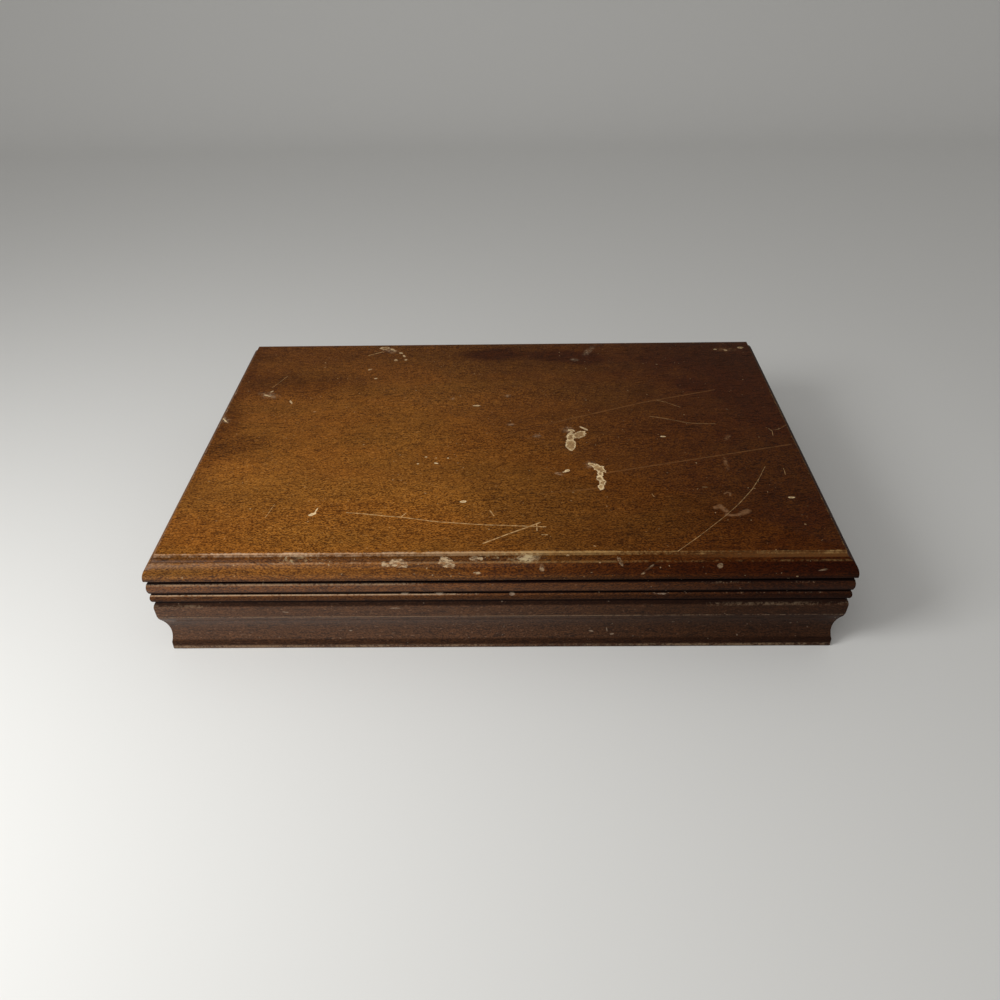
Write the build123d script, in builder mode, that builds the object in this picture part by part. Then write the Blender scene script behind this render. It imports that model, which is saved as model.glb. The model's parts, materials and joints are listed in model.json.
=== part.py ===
from build123d import *

import os

# A wooden chest for table silver: a shallow moulded tray and a lid that opens on two stop hinges.
# The frame of the chest: X runs along its width, Y from front to back, Z up, and the origin is
# the middle of the underside. Every length is in millimetres and every angle in degrees.
# "Inset" is always a distance inwards from the edge of the lid board, which stands out furthest.

# --- Driving dimensions -------------------------------------------------------------------------

# Closed chest
width = 394.0
depth = 279.0
base_height = 38.7
parting_gap = 0.3
lid_rail_height = 15.5
board_thickness = 14.0
rail_inner_inset = 17.0

# Edge moulding of the lid board, from the flat outwards: quirk, cove, round nose
flat_inset = 7.0
quirk_drop = 1.6
quirk_run = 0.4
cove_run = 2.7
cove_drop = 2.8
cove_hollow = 0.5
nose_land = 1.0
nose_lower_round = 0.5

# Two reeds on the lid rails, above and below a narrow groove
upper_reed_inset = 0.4
lower_reed_inset = 0.75
reed_shoulder = 0.75
reed_groove_depth = 1.5
upper_groove_height = 2.1
middle_groove_height = 1.1
lower_reed_height = 5.2

# Moulding of the base rails, from the rim down: ovolo, cove, foot
rim_inset = 3.3
ovolo_inset = 1.2
ovolo_rise = 4.4
ovolo_face_drop = 5.8
ovolo_face_run = 0.3
ovolo_turn_run = 1.2
ovolo_turn_drop = 4.1
foot_inset = 4.6
foot_height = 5.6
foot_round = 0.8

# Bottom panel, let into a rabbet and covered below by felt
rabbet_width = 7.0
panel_thickness = 4.0
felt_thickness = 1.0
panel_clearance = 0.2

# Panel brads
brad_radius = 0.6
brad_head_radius = 1.3
brad_head_height = 0.5
brad_length = 14.0
brad_count_long_side = 5
brad_count_short_side = 3
brad_corner_inset = 42.0

# Splines across the mitres
spline_thickness = 2.0
spline_across = 10.0
spline_along = 8.0
spline_inset = 11.6
base_spline_height = 24.0
lid_spline_height = 8.0

# Dowels between the lid rails and the lid board
dowel_radius = 2.5
dowel_length = 16.0
dowel_inset = 9.5
dowel_count_long_side = 3
dowel_corner_inset = 60.0

# Lining: card covered with cloth
lining_thickness = 1.5
lining_reveal = 1.5

# Flatware racks in the base, and the knife racks in the lid
lanes = 8
rack_thickness = 12.0
rack_height = 22.0
rack_spacing = 116.0
rack_slot_width = 30.0
rack_slot_depth = 15.5
rack_slot_round = 6.0
rack_top_round = 1.2
knife_rack_thickness = 11.0
knife_rack_height = 12.5
handle_rack_y = 72.0
handle_slot_width = 20.0
handle_slot_depth = 10.0
blade_rack_y = -48.0
blade_slot_width = 24.0
blade_slot_depth = 7.0
knife_slot_round = 2.5

# Stop hinges
hinge_x = 115.0
hinge_length = 38.0
hinge_axis_inset = 1.0
leaf_width = 13.0
leaf_thickness = 1.2
knuckle_radius = 2.4
middle_knuckle = 14.0
knuckle_end_gap = 0.2
knuckle_side_gap = 0.2
pin_radius = 1.2
pin_clearance = 0.05
opening_angle = 100.0
stop_play = 1.0
stop_reach = 2.2
stop_wall_angle = 88.0
base_stop_angle = -51.0
mortise_clearance = 0.25

# Hinge screws
screw_spacing = 24.0
screw_from_axis = 8.2
screw_radius = 1.1
screw_head_radius = 2.2
screw_length = 10.0
screw_slot_width = 0.6
screw_slot_depth = 0.6
screw_slot_turn = 35.0
fastener_clearance = 0.05

# --- Levels and sizes that follow from them -----------------------------------------------------

lid_bottom = base_height + parting_gap
board_bottom = lid_bottom + lid_rail_height
chest_height = board_bottom + board_thickness
inner_width = width - 2 * rail_inner_inset
inner_depth = depth - 2 * rail_inner_inset
panel_bottom = felt_thickness
floor_bottom = panel_bottom + panel_thickness
floor_top = floor_bottom + lining_thickness
ceiling = board_bottom - lining_thickness
clear_width = inner_width - 2 * lining_thickness
clear_depth = inner_depth - 2 * lining_thickness
lane_pitch = clear_width / lanes
hinge_axis_y = depth / 2 - hinge_axis_inset
hinge_axis_z = base_height + parting_gap / 2
stop_radius = knuckle_radius + stop_reach
lid_stop_angle = base_stop_angle + opening_angle + stop_play
rabbet_inset = rail_inner_inset - rabbet_width
brad_inset = rail_inner_inset - rabbet_width / 2

# --- Sections -----------------------------------------------------------------------------------


def edge_moulding():
    """Line of the board's edge, from the flat on top to the underside, as (inset, height)."""
    quirk_foot = (flat_inset - quirk_run, chest_height - quirk_drop)
    cove_foot = (quirk_foot[0] - cove_run, quirk_foot[1] - cove_drop)
    land_top = (0, board_bottom + nose_lower_round + nose_land)
    land_foot = (0, board_bottom + nose_lower_round)
    with BuildLine() as edge:
        Line((flat_inset, chest_height), quirk_foot)
        SagittaArc(quirk_foot, cove_foot, cove_hollow)
        TangentArc(land_top, cove_foot, tangent=(0, 1))
        Line(land_top, land_foot)
        TangentArc(land_foot, (nose_lower_round, board_bottom), tangent=(0, -1))
    return edge.line


def reed(foot_z, head_z, reed_inset):
    """One reed of the lid rail: a round bulge between two shoulders, to be drawn in a BuildLine."""
    shoulder = reed_inset + reed_shoulder
    return ThreePointArc(
        (shoulder, foot_z),
        (reed_inset, (foot_z + head_z) / 2),
        (shoulder, head_z),
    )


def lid_rail_section():
    """Cross section of a lid rail: two reeds outside, a plain wall inside."""
    lower_head = lid_bottom + lower_reed_height
    upper_foot = lower_head + middle_groove_height
    upper_head = board_bottom - upper_groove_height
    groove = upper_reed_inset + reed_shoulder + reed_groove_depth
    with BuildSketch() as section:
        with BuildLine():
            lower = reed(lid_bottom, lower_head, lower_reed_inset)
            upper = reed(upper_foot, upper_head, upper_reed_inset)
            Polyline(lower @ 1, (groove, lower_head), (groove, upper_foot), upper @ 0)
            Polyline(
                upper @ 1,
                (groove, upper_head),
                (groove, board_bottom),
                (rail_inner_inset, board_bottom),
                (rail_inner_inset, lid_bottom),
                lower @ 0,
            )
        make_face()
    return section.sketch


def base_rail_section():
    """Cross section of a base rail: ovolo, cove and foot outside, a rabbet inside at the bottom."""
    face_top = Vector(ovolo_inset, base_height - ovolo_rise)
    face_foot = face_top + Vector(ovolo_face_run, -ovolo_face_drop)
    cove_top = face_foot + Vector(ovolo_turn_run, -ovolo_turn_drop)
    foot_top = Vector(foot_inset, foot_height)
    with BuildSketch() as section:
        with BuildLine():
            TangentArc(face_top, (rim_inset, base_height), tangent=face_top - face_foot)
            face = Line(face_top, face_foot)
            turn = TangentArc(face_foot, cove_top, tangent=face % 1)
            TangentArc(cove_top, foot_top, tangent=turn % 1)
            Polyline(
                foot_top,
                (foot_inset, foot_round),
                (foot_inset + foot_round, 0),
                (rabbet_inset, 0),
                (rabbet_inset, floor_bottom),
                (rail_inner_inset, floor_bottom),
                (rail_inner_inset, base_height),
                (rim_inset, base_height),
            )
        make_face()
    return section.sketch


def side_plane(side):
    """Plane across one side of the chest: its x runs inwards, its y up, its normal along the rail."""
    inwards = {"front": (0, 1), "back": (0, -1), "left": (1, 0), "right": (-1, 0)}[side]
    run = Vector(*inwards, 0)
    middle = Vector(-run.X * width / 2, -run.Y * depth / 2, 0)
    return Plane(origin=middle, x_dir=run, z_dir=run.cross(Vector(0, 0, 1)))


def side_length(side):
    return width if side in ("front", "back") else depth


def mitred_rail(section, side, *cutters):
    """A rail of that section along one side, mitred at both ends, with the cutters taken out."""
    across = side_plane(side)
    half = side_length(side) / 2
    with BuildPart() as rail:
        with BuildSketch(across):
            add(section)
        extrude(amount=half, both=True)
        for end in (1, -1):
            corner = across.from_local_coords((0, 0, end * half))
            split(bisect_by=Plane(corner, z_dir=across.x_dir + across.z_dir * end), keep=Keep.BOTTOM)
        for cutter in cutters:
            add(cutter, mode=Mode.SUBTRACT)
    return rail.part


# --- Hidden joinery: splines, dowels and brads --------------------------------------------------


def mitre_splines(height, growth=0.0):
    """Four flat tongues, one across each mitre, at one height."""
    with BuildPart() as splines:
        for x_side in (1, -1):
            for y_side in (1, -1):
                place = Location(
                    (x_side * (width / 2 - spline_inset), y_side * (depth / 2 - spline_inset), height),
                    (0, 0, 45 * x_side * y_side),
                )
                with Locations(place):
                    Box(spline_along + growth, spline_across + growth, spline_thickness + growth)
    return splines.part


def rail_row(length, count, corner_inset):
    """Even places along a side, the first and last one corner_inset from its ends."""
    run = length - 2 * corner_inset
    return [-run / 2 + run * place / (count - 1) for place in range(count)]


def board_dowels(growth=0.0):
    """Dowels that stand half in a lid rail and half in the lid board, in all four rails."""
    along = rail_row(width, dowel_count_long_side, dowel_corner_inset)
    across = (depth - 2 * dowel_corner_inset) / 2
    places = [(x, y * (depth / 2 - dowel_inset)) for x in along for y in (1, -1)]
    places += [(x * (width / 2 - dowel_inset), y * across) for x in (1, -1) for y in (1, -1)]
    with BuildPart() as dowels:
        with Locations([(x, y, board_bottom) for x, y in places]):
            Cylinder(dowel_radius + growth, dowel_length + 2 * growth)
    return dowels.part


def panel_brads(growth=0.0):
    """Brads up through the bottom panel into the base rails; their heads are let into the panel."""
    along = rail_row(width, brad_count_long_side, brad_corner_inset)
    across = rail_row(depth, brad_count_short_side, brad_corner_inset)
    places = [(x, y * (depth / 2 - brad_inset)) for x in along for y in (1, -1)]
    places += [(x * (width / 2 - brad_inset), y) for x in (1, -1) for y in across]
    with BuildPart() as brads:
        with Locations([(x, y, panel_bottom) for x, y in places]):
            Cylinder(
                brad_head_radius + growth,
                brad_head_height + growth,
                align=(Align.CENTER, Align.CENTER, Align.MIN),
            )
            Cylinder(
                brad_radius + growth,
                brad_length + growth,
                align=(Align.CENTER, Align.CENTER, Align.MIN),
            )
    return brads.part


# --- Hinges: places, screws and the pockets that they need --------------------------------------


def axis_plane(hinge_side):
    """Plane across one hinge at its middle: x backwards, y up, normal along the pin."""
    return Plane(
        origin=(hinge_side * hinge_x, hinge_axis_y, hinge_axis_z),
        x_dir=(0, 1, 0),
        z_dir=(1, 0, 0),
    )


def screw_planes(leaf_side):
    """A plane on the open face of a leaf at each screw; its normal points out of the head."""
    face = hinge_axis_z + leaf_side * parting_gap / 2
    return [
        Plane(
            origin=(side * hinge_x + end * screw_spacing / 2, hinge_axis_y - screw_from_axis, face),
            z_dir=(0, 0, -leaf_side),
        )
        for side in (1, -1)
        for end in (1, -1)
    ]


def screw_bodies(leaf_side, growth=0.0):
    """Countersunk wood screws of both hinges, without their slots, or grown, the holes for them."""
    head = screw_head_radius + growth
    shank = screw_radius + growth
    tip = screw_length + growth
    with BuildPart() as bodies:
        for seat in screw_planes(leaf_side):
            with BuildSketch(Plane(seat.origin, x_dir=seat.x_dir, z_dir=-seat.y_dir)):
                with BuildLine():
                    Polyline(
                        (0, 0),
                        (head, 0),
                        (shank, shank - head),
                        (shank, shank - tip),
                        (0, -tip),
                        close=True,
                    )
                make_face()
            revolve(axis=Axis(seat.origin, seat.z_dir))
    return bodies.part


def hinge_screws(leaf_side):
    """The screws with a driving slot cut across each head."""
    bodies = screw_bodies(leaf_side)
    with BuildPart() as screws:
        add(bodies)
        with Locations([seat.location for seat in screw_planes(leaf_side)]):
            Box(
                2 * screw_head_radius,
                screw_slot_width,
                2 * screw_slot_depth,
                rotation=(0, 0, screw_slot_turn),
                mode=Mode.SUBTRACT,
            )
    return screws.part


def hinge_pockets(leaf_side):
    """What both hinges take out of a back rail: beds for the leaves and room for the knuckles."""
    barrel_room = knuckle_radius + mortise_clearance
    stop_room = stop_radius + mortise_clearance if leaf_side > 0 else barrel_room
    towards_wood = Align.MIN if leaf_side > 0 else Align.MAX
    face = leaf_side * parting_gap / 2
    with BuildPart() as pockets:
        for side in (1, -1):
            with BuildSketch(axis_plane(side)):
                with Locations((0, face)):
                    Rectangle(leaf_width, leaf_thickness, align=(Align.MAX, towards_wood))
                with Locations((-barrel_room, 0)):
                    Rectangle(
                        2 * barrel_room + hinge_axis_inset,
                        stop_room,
                        align=(Align.MIN, towards_wood),
                    )
            extrude(amount=hinge_length / 2 + mortise_clearance, both=True)
    return pockets.part


def stop_section(low_angle, high_angle):
    """Sketch of a stop lug, a wedge between two angles about the pin, fused to its knuckle."""
    root = knuckle_radius - leaf_thickness / 2
    with BuildSketch() as wedge:
        with BuildLine():
            low_face = PolarLine((0, 0), stop_radius, low_angle, mode=Mode.PRIVATE)
            high_face = PolarLine((0, 0), stop_radius, high_angle, mode=Mode.PRIVATE)
            rim = CenterArc((0, 0), stop_radius, low_angle, high_angle - low_angle)
            Line(low_face @ (root / stop_radius), rim @ 0)
            Line(rim @ 1, high_face @ (root / stop_radius))
            Line(high_face @ (root / stop_radius), low_face @ (root / stop_radius))
        make_face()
    return wedge.sketch


def hinge_leaf(hinge_side, leaf_side):
    """One leaf with its knuckles and stop lug. The base leaf has the two end knuckles and a lug
    that runs past the middle one; the lid leaf has the middle knuckle and a lug behind it."""
    across = axis_plane(hinge_side)
    face = leaf_side * parting_gap / 2
    room = knuckle_radius + knuckle_side_gap
    base_leaf = leaf_side < 0
    towards_wood = Align.MAX if base_leaf else Align.MIN
    screw_seats = screw_bodies(leaf_side, growth=fastener_clearance)
    own_half = hinge_length / 2 if base_leaf else middle_knuckle / 2
    lug = (
        stop_section(-stop_wall_angle, base_stop_angle)
        if base_leaf
        else stop_section(lid_stop_angle, stop_wall_angle)
    )
    with BuildPart() as leaf:
        with BuildSketch(across):
            with Locations((0, face)):
                Rectangle(leaf_width, leaf_thickness, align=(Align.MAX, towards_wood))
        extrude(amount=hinge_length / 2, both=True)
        if not base_leaf:
            with BuildSketch(across):
                Circle(room)
            extrude(amount=hinge_length / 2, both=True, mode=Mode.SUBTRACT)
            with BuildSketch(across):
                with Locations((0, face)):
                    Rectangle(leaf_width, leaf_thickness, align=(Align.MAX, towards_wood))
            extrude(amount=own_half, both=True)
        with BuildSketch(across):
            Circle(knuckle_radius)
            add(lug)
        extrude(amount=own_half, both=True)
        if base_leaf:
            with BuildSketch(across):
                Circle(room)
            extrude(amount=middle_knuckle / 2 + knuckle_end_gap, both=True, mode=Mode.SUBTRACT)
        with BuildSketch(across):
            Circle(pin_radius + pin_clearance)
        extrude(amount=hinge_length, both=True, mode=Mode.SUBTRACT)
        add(screw_seats, mode=Mode.SUBTRACT)
    return leaf.part


def hinge_pin(hinge_side):
    """The pin of one hinge, with chamfered ends."""
    with BuildPart() as pin:
        with BuildSketch(axis_plane(hinge_side)):
            Circle(pin_radius)
        extrude(amount=hinge_length / 2, both=True)
        chamfer(pin.faces().filter_by(Axis.X).edges(), pin_radius / 4)
    return pin.part


# --- The board, the panels and the linings ------------------------------------------------------


def moulded_section(span):
    """Full cross section of the lid board over one span, with the moulding at both edges."""
    half = span / 2
    moulding = edge_moulding()
    with BuildSketch() as section:
        with BuildLine():
            with Locations((-half, 0)):
                add(moulding)
            mirror(about=Plane.YZ)
            Line((flat_inset - half, chest_height), (half - flat_inset, chest_height))
            Line((nose_lower_round - half, board_bottom), (half - nose_lower_round, board_bottom))
        make_face()
    return section.sketch


def lid_board():
    """The moulded board: where the section across X and the section across Y overlap."""
    dowel_holes = board_dowels(growth=fastener_clearance)
    with BuildPart() as board:
        with BuildSketch(Plane.XZ):
            add(moulded_section(width))
        extrude(amount=depth / 2, both=True)
        with BuildSketch(Plane.YZ):
            add(moulded_section(depth))
        extrude(amount=width / 2, both=True, mode=Mode.INTERSECT)
        add(dowel_holes, mode=Mode.SUBTRACT)
    return board.part


def wall_linings(body, low, high):
    """Make and write the four strips of lining inside a frame: the sides fit between the others."""
    x = (inner_width - lining_thickness) / 2
    y = (inner_depth - lining_thickness) / 2
    strips = {
        "front": (0, -y, inner_width, lining_thickness),
        "back": (0, y, inner_width, lining_thickness),
        "left": (-x, 0, lining_thickness, clear_depth),
        "right": (x, 0, lining_thickness, clear_depth),
    }
    for side, (x_place, y_place, x_size, y_size) in strips.items():
        with BuildPart() as strip:
            with BuildSketch(Plane.XY.offset(low)):
                with Locations((x_place, y_place)):
                    Rectangle(x_size, y_size)
            extrude(amount=high - low)
        save(strip.part, f"{body}_{side}_lining")


# --- Racks --------------------------------------------------------------------------------------


def flatware_rack(y):
    """A bar across the base with one round-bottomed slot in each lane, open at the top."""
    top = floor_top + rack_height
    with BuildPart() as rack:
        with BuildSketch(Plane.XZ.offset(-y)):
            with Locations((0, floor_top)):
                Rectangle(clear_width, rack_height, align=(Align.CENTER, Align.MIN))
            with Locations((0, top)):
                with GridLocations(lane_pitch, 0, lanes, 1):
                    RectangleRounded(
                        rack_slot_width, 2 * rack_slot_depth, rack_slot_round, mode=Mode.SUBTRACT
                    )
        extrude(amount=rack_thickness / 2, both=True)
        crests = rack.faces().filter_by(Axis.Z).group_by(Axis.Z)[-1]
        fillet(crests.edges().filter_by(Axis.X), rack_top_round)
    return rack.part


def knife_rack(y, slot_width, slot_depth):
    """A bar under the lid's ceiling; its slots open upwards, so the ceiling closes each window."""
    with BuildPart() as rack:
        with BuildSketch(Plane.XZ.offset(-y)):
            with Locations((0, ceiling)):
                Rectangle(clear_width, knife_rack_height, align=(Align.CENTER, Align.MAX))
                with GridLocations(lane_pitch, 0, lanes, 1):
                    RectangleRounded(
                        slot_width, 2 * slot_depth, knife_slot_round, mode=Mode.SUBTRACT
                    )
        extrude(amount=knife_rack_thickness / 2, both=True)
        lowest = rack.faces().filter_by(Axis.Z).sort_by(Axis.Z)[0]
        fillet(lowest.edges().filter_by(Axis.X), rack_top_round)
    return rack.part


# --- Build and write every sub-part -------------------------------------------------------------


def save(piece, name):
    """Label a finished sub-part and write it."""
    piece.label = name
    export_step(piece, f"parts/{name}.step")


os.makedirs("parts", exist_ok=True)

# Base: four mitred rails round a bottom panel that is pinned into their rabbet
base_section = base_rail_section()
base_spline_slots = mitre_splines(base_spline_height, growth=fastener_clearance)
brad_holes = panel_brads(growth=fastener_clearance)
base_hinge_cuts = [hinge_pockets(-1), screw_bodies(-1, growth=fastener_clearance)]
for side in ("front", "left", "right"):
    save(mitred_rail(base_section, side, base_spline_slots, brad_holes), f"base_{side}_rail")
save(
    mitred_rail(base_section, "back", base_spline_slots, brad_holes, *base_hinge_cuts),
    "base_back_rail",
)
save(mitre_splines(base_spline_height), "base_corner_splines")

panel_width = width - 2 * rabbet_inset - 2 * panel_clearance
panel_depth = depth - 2 * rabbet_inset - 2 * panel_clearance

with BuildPart() as bottom_panel:
    with BuildSketch(Plane.XY.offset(panel_bottom)):
        Rectangle(panel_width, panel_depth)
    extrude(amount=panel_thickness)
    add(brad_holes, mode=Mode.SUBTRACT)
save(bottom_panel.part, "bottom_panel")
save(panel_brads(), "bottom_panel_brads")

with BuildPart() as base_felt:
    with BuildSketch():
        Rectangle(panel_width, panel_depth)
    extrude(amount=felt_thickness)
save(base_felt.part, "base_felt")

# Lid: four mitred rails dowelled to the underside of the moulded board
lid_section = lid_rail_section()
lid_spline_slots = mitre_splines(lid_bottom + lid_spline_height, growth=fastener_clearance)
dowel_holes = board_dowels(growth=fastener_clearance)
lid_hinge_cuts = [hinge_pockets(1), screw_bodies(1, growth=fastener_clearance)]
for side in ("front", "left", "right"):
    save(mitred_rail(lid_section, side, lid_spline_slots, dowel_holes), f"lid_{side}_rail")
save(
    mitred_rail(lid_section, "back", lid_spline_slots, dowel_holes, *lid_hinge_cuts),
    "lid_back_rail",
)
save(mitre_splines(lid_bottom + lid_spline_height), "lid_corner_splines")
save(lid_board(), "lid_board")
save(board_dowels(), "lid_dowels")

# Linings: a floor and a ceiling over the whole inside, with four strips standing against each
with BuildPart() as floor_lining:
    with BuildSketch(Plane.XY.offset(floor_bottom)):
        Rectangle(inner_width, inner_depth)
    extrude(amount=lining_thickness)
save(floor_lining.part, "base_floor_lining")
wall_linings("base", floor_top, base_height - lining_reveal)

with BuildPart() as ceiling_lining:
    with BuildSketch(Plane.XY.offset(ceiling)):
        Rectangle(inner_width, inner_depth)
    extrude(amount=lining_thickness)
save(ceiling_lining.part, "lid_ceiling_lining")
wall_linings("lid", lid_bottom + lining_reveal, ceiling)

# Racks: forks and spoons lie in the base, knives hang in the lid
save(flatware_rack(-rack_spacing / 2), "front_flatware_rack")
save(flatware_rack(rack_spacing / 2), "rear_flatware_rack")
save(knife_rack(handle_rack_y, handle_slot_width, handle_slot_depth), "knife_handle_rack")
save(knife_rack(blade_rack_y, blade_slot_width, blade_slot_depth), "knife_blade_rack")

# Hinges
for name, hinge_side in (("left", -1), ("right", 1)):
    save(hinge_leaf(hinge_side, -1), f"{name}_hinge_base_leaf")
    save(hinge_leaf(hinge_side, 1), f"{name}_hinge_lid_leaf")
    save(hinge_pin(hinge_side), f"{name}_hinge_pin")
save(hinge_screws(-1), "base_hinge_screws")
save(hinge_screws(1), "lid_hinge_screws")

print(f"chest {width} x {depth} x {chest_height} mm, each inside lane {lane_pitch:.1f} mm wide")
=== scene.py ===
# %% [markdown]
# # A moulded chest for table silver
#
# A silver chest is a shallow tray with a lid, both built up from lengths of moulding that are
# mitred at the corners. This lesson takes the cabinet maker's drawing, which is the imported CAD
# model, and gives each piece its real surface: stained wood with worn edges, brushed cloth inside,
# and tarnished brass hinges. The frame is in metres, with X along the width, Y from front to back
# and Z up, and everything below is made in that frame.

# %% Load the frame
import json
import math

import bmesh
import bpy
from mathutils import Matrix, Vector, noise


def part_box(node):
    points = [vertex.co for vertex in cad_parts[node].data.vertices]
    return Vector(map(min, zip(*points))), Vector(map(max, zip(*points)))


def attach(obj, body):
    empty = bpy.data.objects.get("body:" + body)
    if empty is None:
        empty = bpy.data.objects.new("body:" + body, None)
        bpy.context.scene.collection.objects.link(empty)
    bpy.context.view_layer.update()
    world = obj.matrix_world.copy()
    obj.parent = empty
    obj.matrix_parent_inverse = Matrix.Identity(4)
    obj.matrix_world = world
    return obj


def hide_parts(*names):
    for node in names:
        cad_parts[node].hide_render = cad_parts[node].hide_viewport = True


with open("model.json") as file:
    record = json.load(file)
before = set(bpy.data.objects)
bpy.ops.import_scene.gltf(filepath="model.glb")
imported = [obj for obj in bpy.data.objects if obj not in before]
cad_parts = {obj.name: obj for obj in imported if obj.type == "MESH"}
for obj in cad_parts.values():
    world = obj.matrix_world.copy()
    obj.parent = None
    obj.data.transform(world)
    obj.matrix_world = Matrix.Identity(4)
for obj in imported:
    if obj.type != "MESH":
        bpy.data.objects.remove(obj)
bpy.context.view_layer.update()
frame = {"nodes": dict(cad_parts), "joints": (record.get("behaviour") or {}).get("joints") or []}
mm = 0.001

# %% [markdown]
# ## Sizes read from the frame
#
# The mouldings are drawn again here with finer curves than the CAD has, so they need the same
# outer sizes. Those come from the boxes of the CAD pieces. That way a chest of another size is
# dressed by the same lesson. An inset is a distance inwards from the widest edge of the lid.

# %% Read the main sizes
board_low, board_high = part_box("lid_board")
lid_rail_low, lid_rail_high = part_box("lid_front_rail")
panel_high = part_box("bottom_panel")[1]
base_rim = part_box("base_front_rail")[1].z
hinge_axis = Vector(frame["joints"][0]["pos_m"])

half_width, half_depth, chest_top = board_high
board_foot = board_low.z
lid_foot = lid_rail_low.z
panel_top = panel_high.z
inner_inset = half_depth + lid_rail_high.y
rabbet_inset = half_width - panel_high.x
print(f"chest {2000 * half_width:.0f} x {2000 * half_depth:.0f} x {1000 * chest_top:.1f} mm")
print(f"rails {1000 * inner_inset:.1f} mm thick, lid opens above {1000 * base_rim:.1f} mm")

# %% [markdown]
# ## Camera
#
# The view is that of someone standing at a table and looking down on the closed chest. A camera
# is a point, three angles and a focal length. The focal length is given in pixels of a picture
# 1000 wide, because then it says directly how large a thing looks at a given distance.

# %% Set the camera
picture_width = 1000.0
focal_pixels = 940.0
camera_place = Vector((9.3, -540.2, 384.2)) * mm
look_down = math.radians(34.55)
turn_left = math.radians(1.10)
tilt = math.radians(-1.04)

camera_data = bpy.data.cameras.new("camera")
camera_data.lens = focal_pixels / picture_width * camera_data.sensor_width
camera_data.clip_start = 0.01
camera = bpy.data.objects.new("camera", camera_data)
bpy.context.scene.collection.objects.link(camera)
camera.matrix_world = (
    Matrix.Translation(camera_place)
    @ Matrix.Rotation(turn_left, 4, "Z")
    @ Matrix.Rotation(math.pi / 2 - look_down, 4, "X")
    @ Matrix.Rotation(tilt, 4, "Z")
)
bpy.context.scene.camera = camera
bpy.context.scene.view_settings.view_transform = "Standard"
print(f"lens {camera_data.lens:.1f} mm, {1000 * camera_place.z:.0f} mm above the table")

# %% [markdown]
# ## Mesh helpers
#
# Every new shape is drawn with Blender's mesh operators. Most of them take a list of vertices,
# edges and faces and give such a list back, so these helpers pick out what the next step needs.

# %% Helpers for meshes


def everything(bm):
    """All the parts of a mesh in one list."""
    return [*bm.verts, *bm.edges, *bm.faces]


def only(kind, parts):
    """The parts of one kind, such as the vertices."""
    return [part for part in parts if isinstance(part, kind)]


def extrude(bm, edges):
    """Extrude edges in their place and return the new vertices and the new edges."""
    grown = bmesh.ops.extrude_edge_only(bm, edges=edges)["geom"]
    return only(bmesh.types.BMVert, grown), only(bmesh.types.BMEdge, grown)


def make_object(bm, name):
    """Turn a drawn mesh into an object of the scene."""
    data = bpy.data.meshes.new(name)
    bm.to_mesh(data)
    bm.free()
    made = bpy.data.objects.new(name, data)
    bpy.context.scene.collection.objects.link(made)
    return made


print("mesh helpers ready")

# %% [markdown]
# ## Node helpers
#
# Shader trees are easier to read as short formulas. These helpers each place one node or a few and
# return the output, so that a pattern reads like the sentence that describes it. A value may be a
# plain number or the output of another node, and a new node goes into the tree of that output.

# %% Helpers for arithmetic in shader trees


def set_inputs(node, inputs):
    """Set or link each named input of a node."""
    for socket, value in inputs.items():
        if isinstance(value, bpy.types.NodeSocket):
            node.id_data.links.new(value, node.inputs[socket])
        else:
            node.inputs[socket].default_value = value


def add_node(kind, inputs, **settings):
    """Place a node in the tree that its inputs come from, and set its options and inputs."""
    sources = [value for value in inputs.values() if isinstance(value, bpy.types.NodeSocket)]
    node = sources[0].id_data.nodes.new(kind)
    for option, value in settings.items():
        setattr(node, option, value)
    set_inputs(node, inputs)
    return node


def calc(operation, *values, clamp=False):
    """One step of arithmetic, held between 0 and 1 if clamp is set."""
    result = add_node("ShaderNodeMath", dict(enumerate(values)), operation=operation).outputs[0]
    if clamp:
        result = calc("MAXIMUM", calc("MINIMUM", result, 1.0), 0.0)
    return result


def fold(operation, values):
    """Join several values, one after the other, by the same operation."""
    total, *others = values
    for value in others:
        total = calc(operation, total, value)
    return total


def add_up(*values):
    """All the values added up."""
    return fold("ADD", values)


def product(*values):
    """All the values multiplied together."""
    return fold("MULTIPLY", values)


def most(*masks):
    """The strongest of several masks."""
    return fold("MAXIMUM", masks)


def gained(value, gain, base, clamp=False):
    """A value times its gain, on top of a base."""
    return calc("MULTIPLY_ADD", value, gain, base, clamp=clamp)


def centred(value, gain):
    """A noise about zero, with its swing set."""
    return product(calc("SUBTRACT", value, 0.5), gain)


print("arithmetic helpers ready")

# %% Helpers for colours, patterns and vectors


def between(value, low, high, low_to=0.0, high_to=1.0):
    """Map low..high smoothly to low_to..high_to and hold the ends."""
    inputs = {"Value": value, "From Min": low, "From Max": high, "To Min": low_to, "To Max": high_to}
    node = add_node("ShaderNodeMapRange", inputs, interpolation_type="SMOOTHSTEP", clamp=False)
    return node.outputs[0]


def blend(amount, under, over, blend_type="MIX"):
    """Lay one colour over another."""
    inputs = {"Factor": amount, 6: under, 7: over}
    return add_node("ShaderNodeMix", inputs, data_type="RGBA", blend_type=blend_type).outputs[2]


def tint(amount, under, over):
    """Multiply one colour by another."""
    return blend(amount, under, over, "MULTIPLY")


def cloud(vector, scale, detail=2.0, roughness=0.5):
    """Soft noise from 0 to 1; scale is how many clouds there are in a metre."""
    inputs = {"Vector": vector, "Scale": scale, "Detail": detail, "Roughness": roughness}
    return add_node("ShaderNodeTexNoise", inputs).outputs["Fac"]


def stretched(vector, scale, place=(0, 0, 0), turn=(0, 0, 0)):
    """The same vector, turned, scaled on each axis and moved."""
    inputs = {"Vector": vector, "Location": place, "Rotation": turn, "Scale": scale}
    return add_node("ShaderNodeMapping", inputs).outputs[0]


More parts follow.
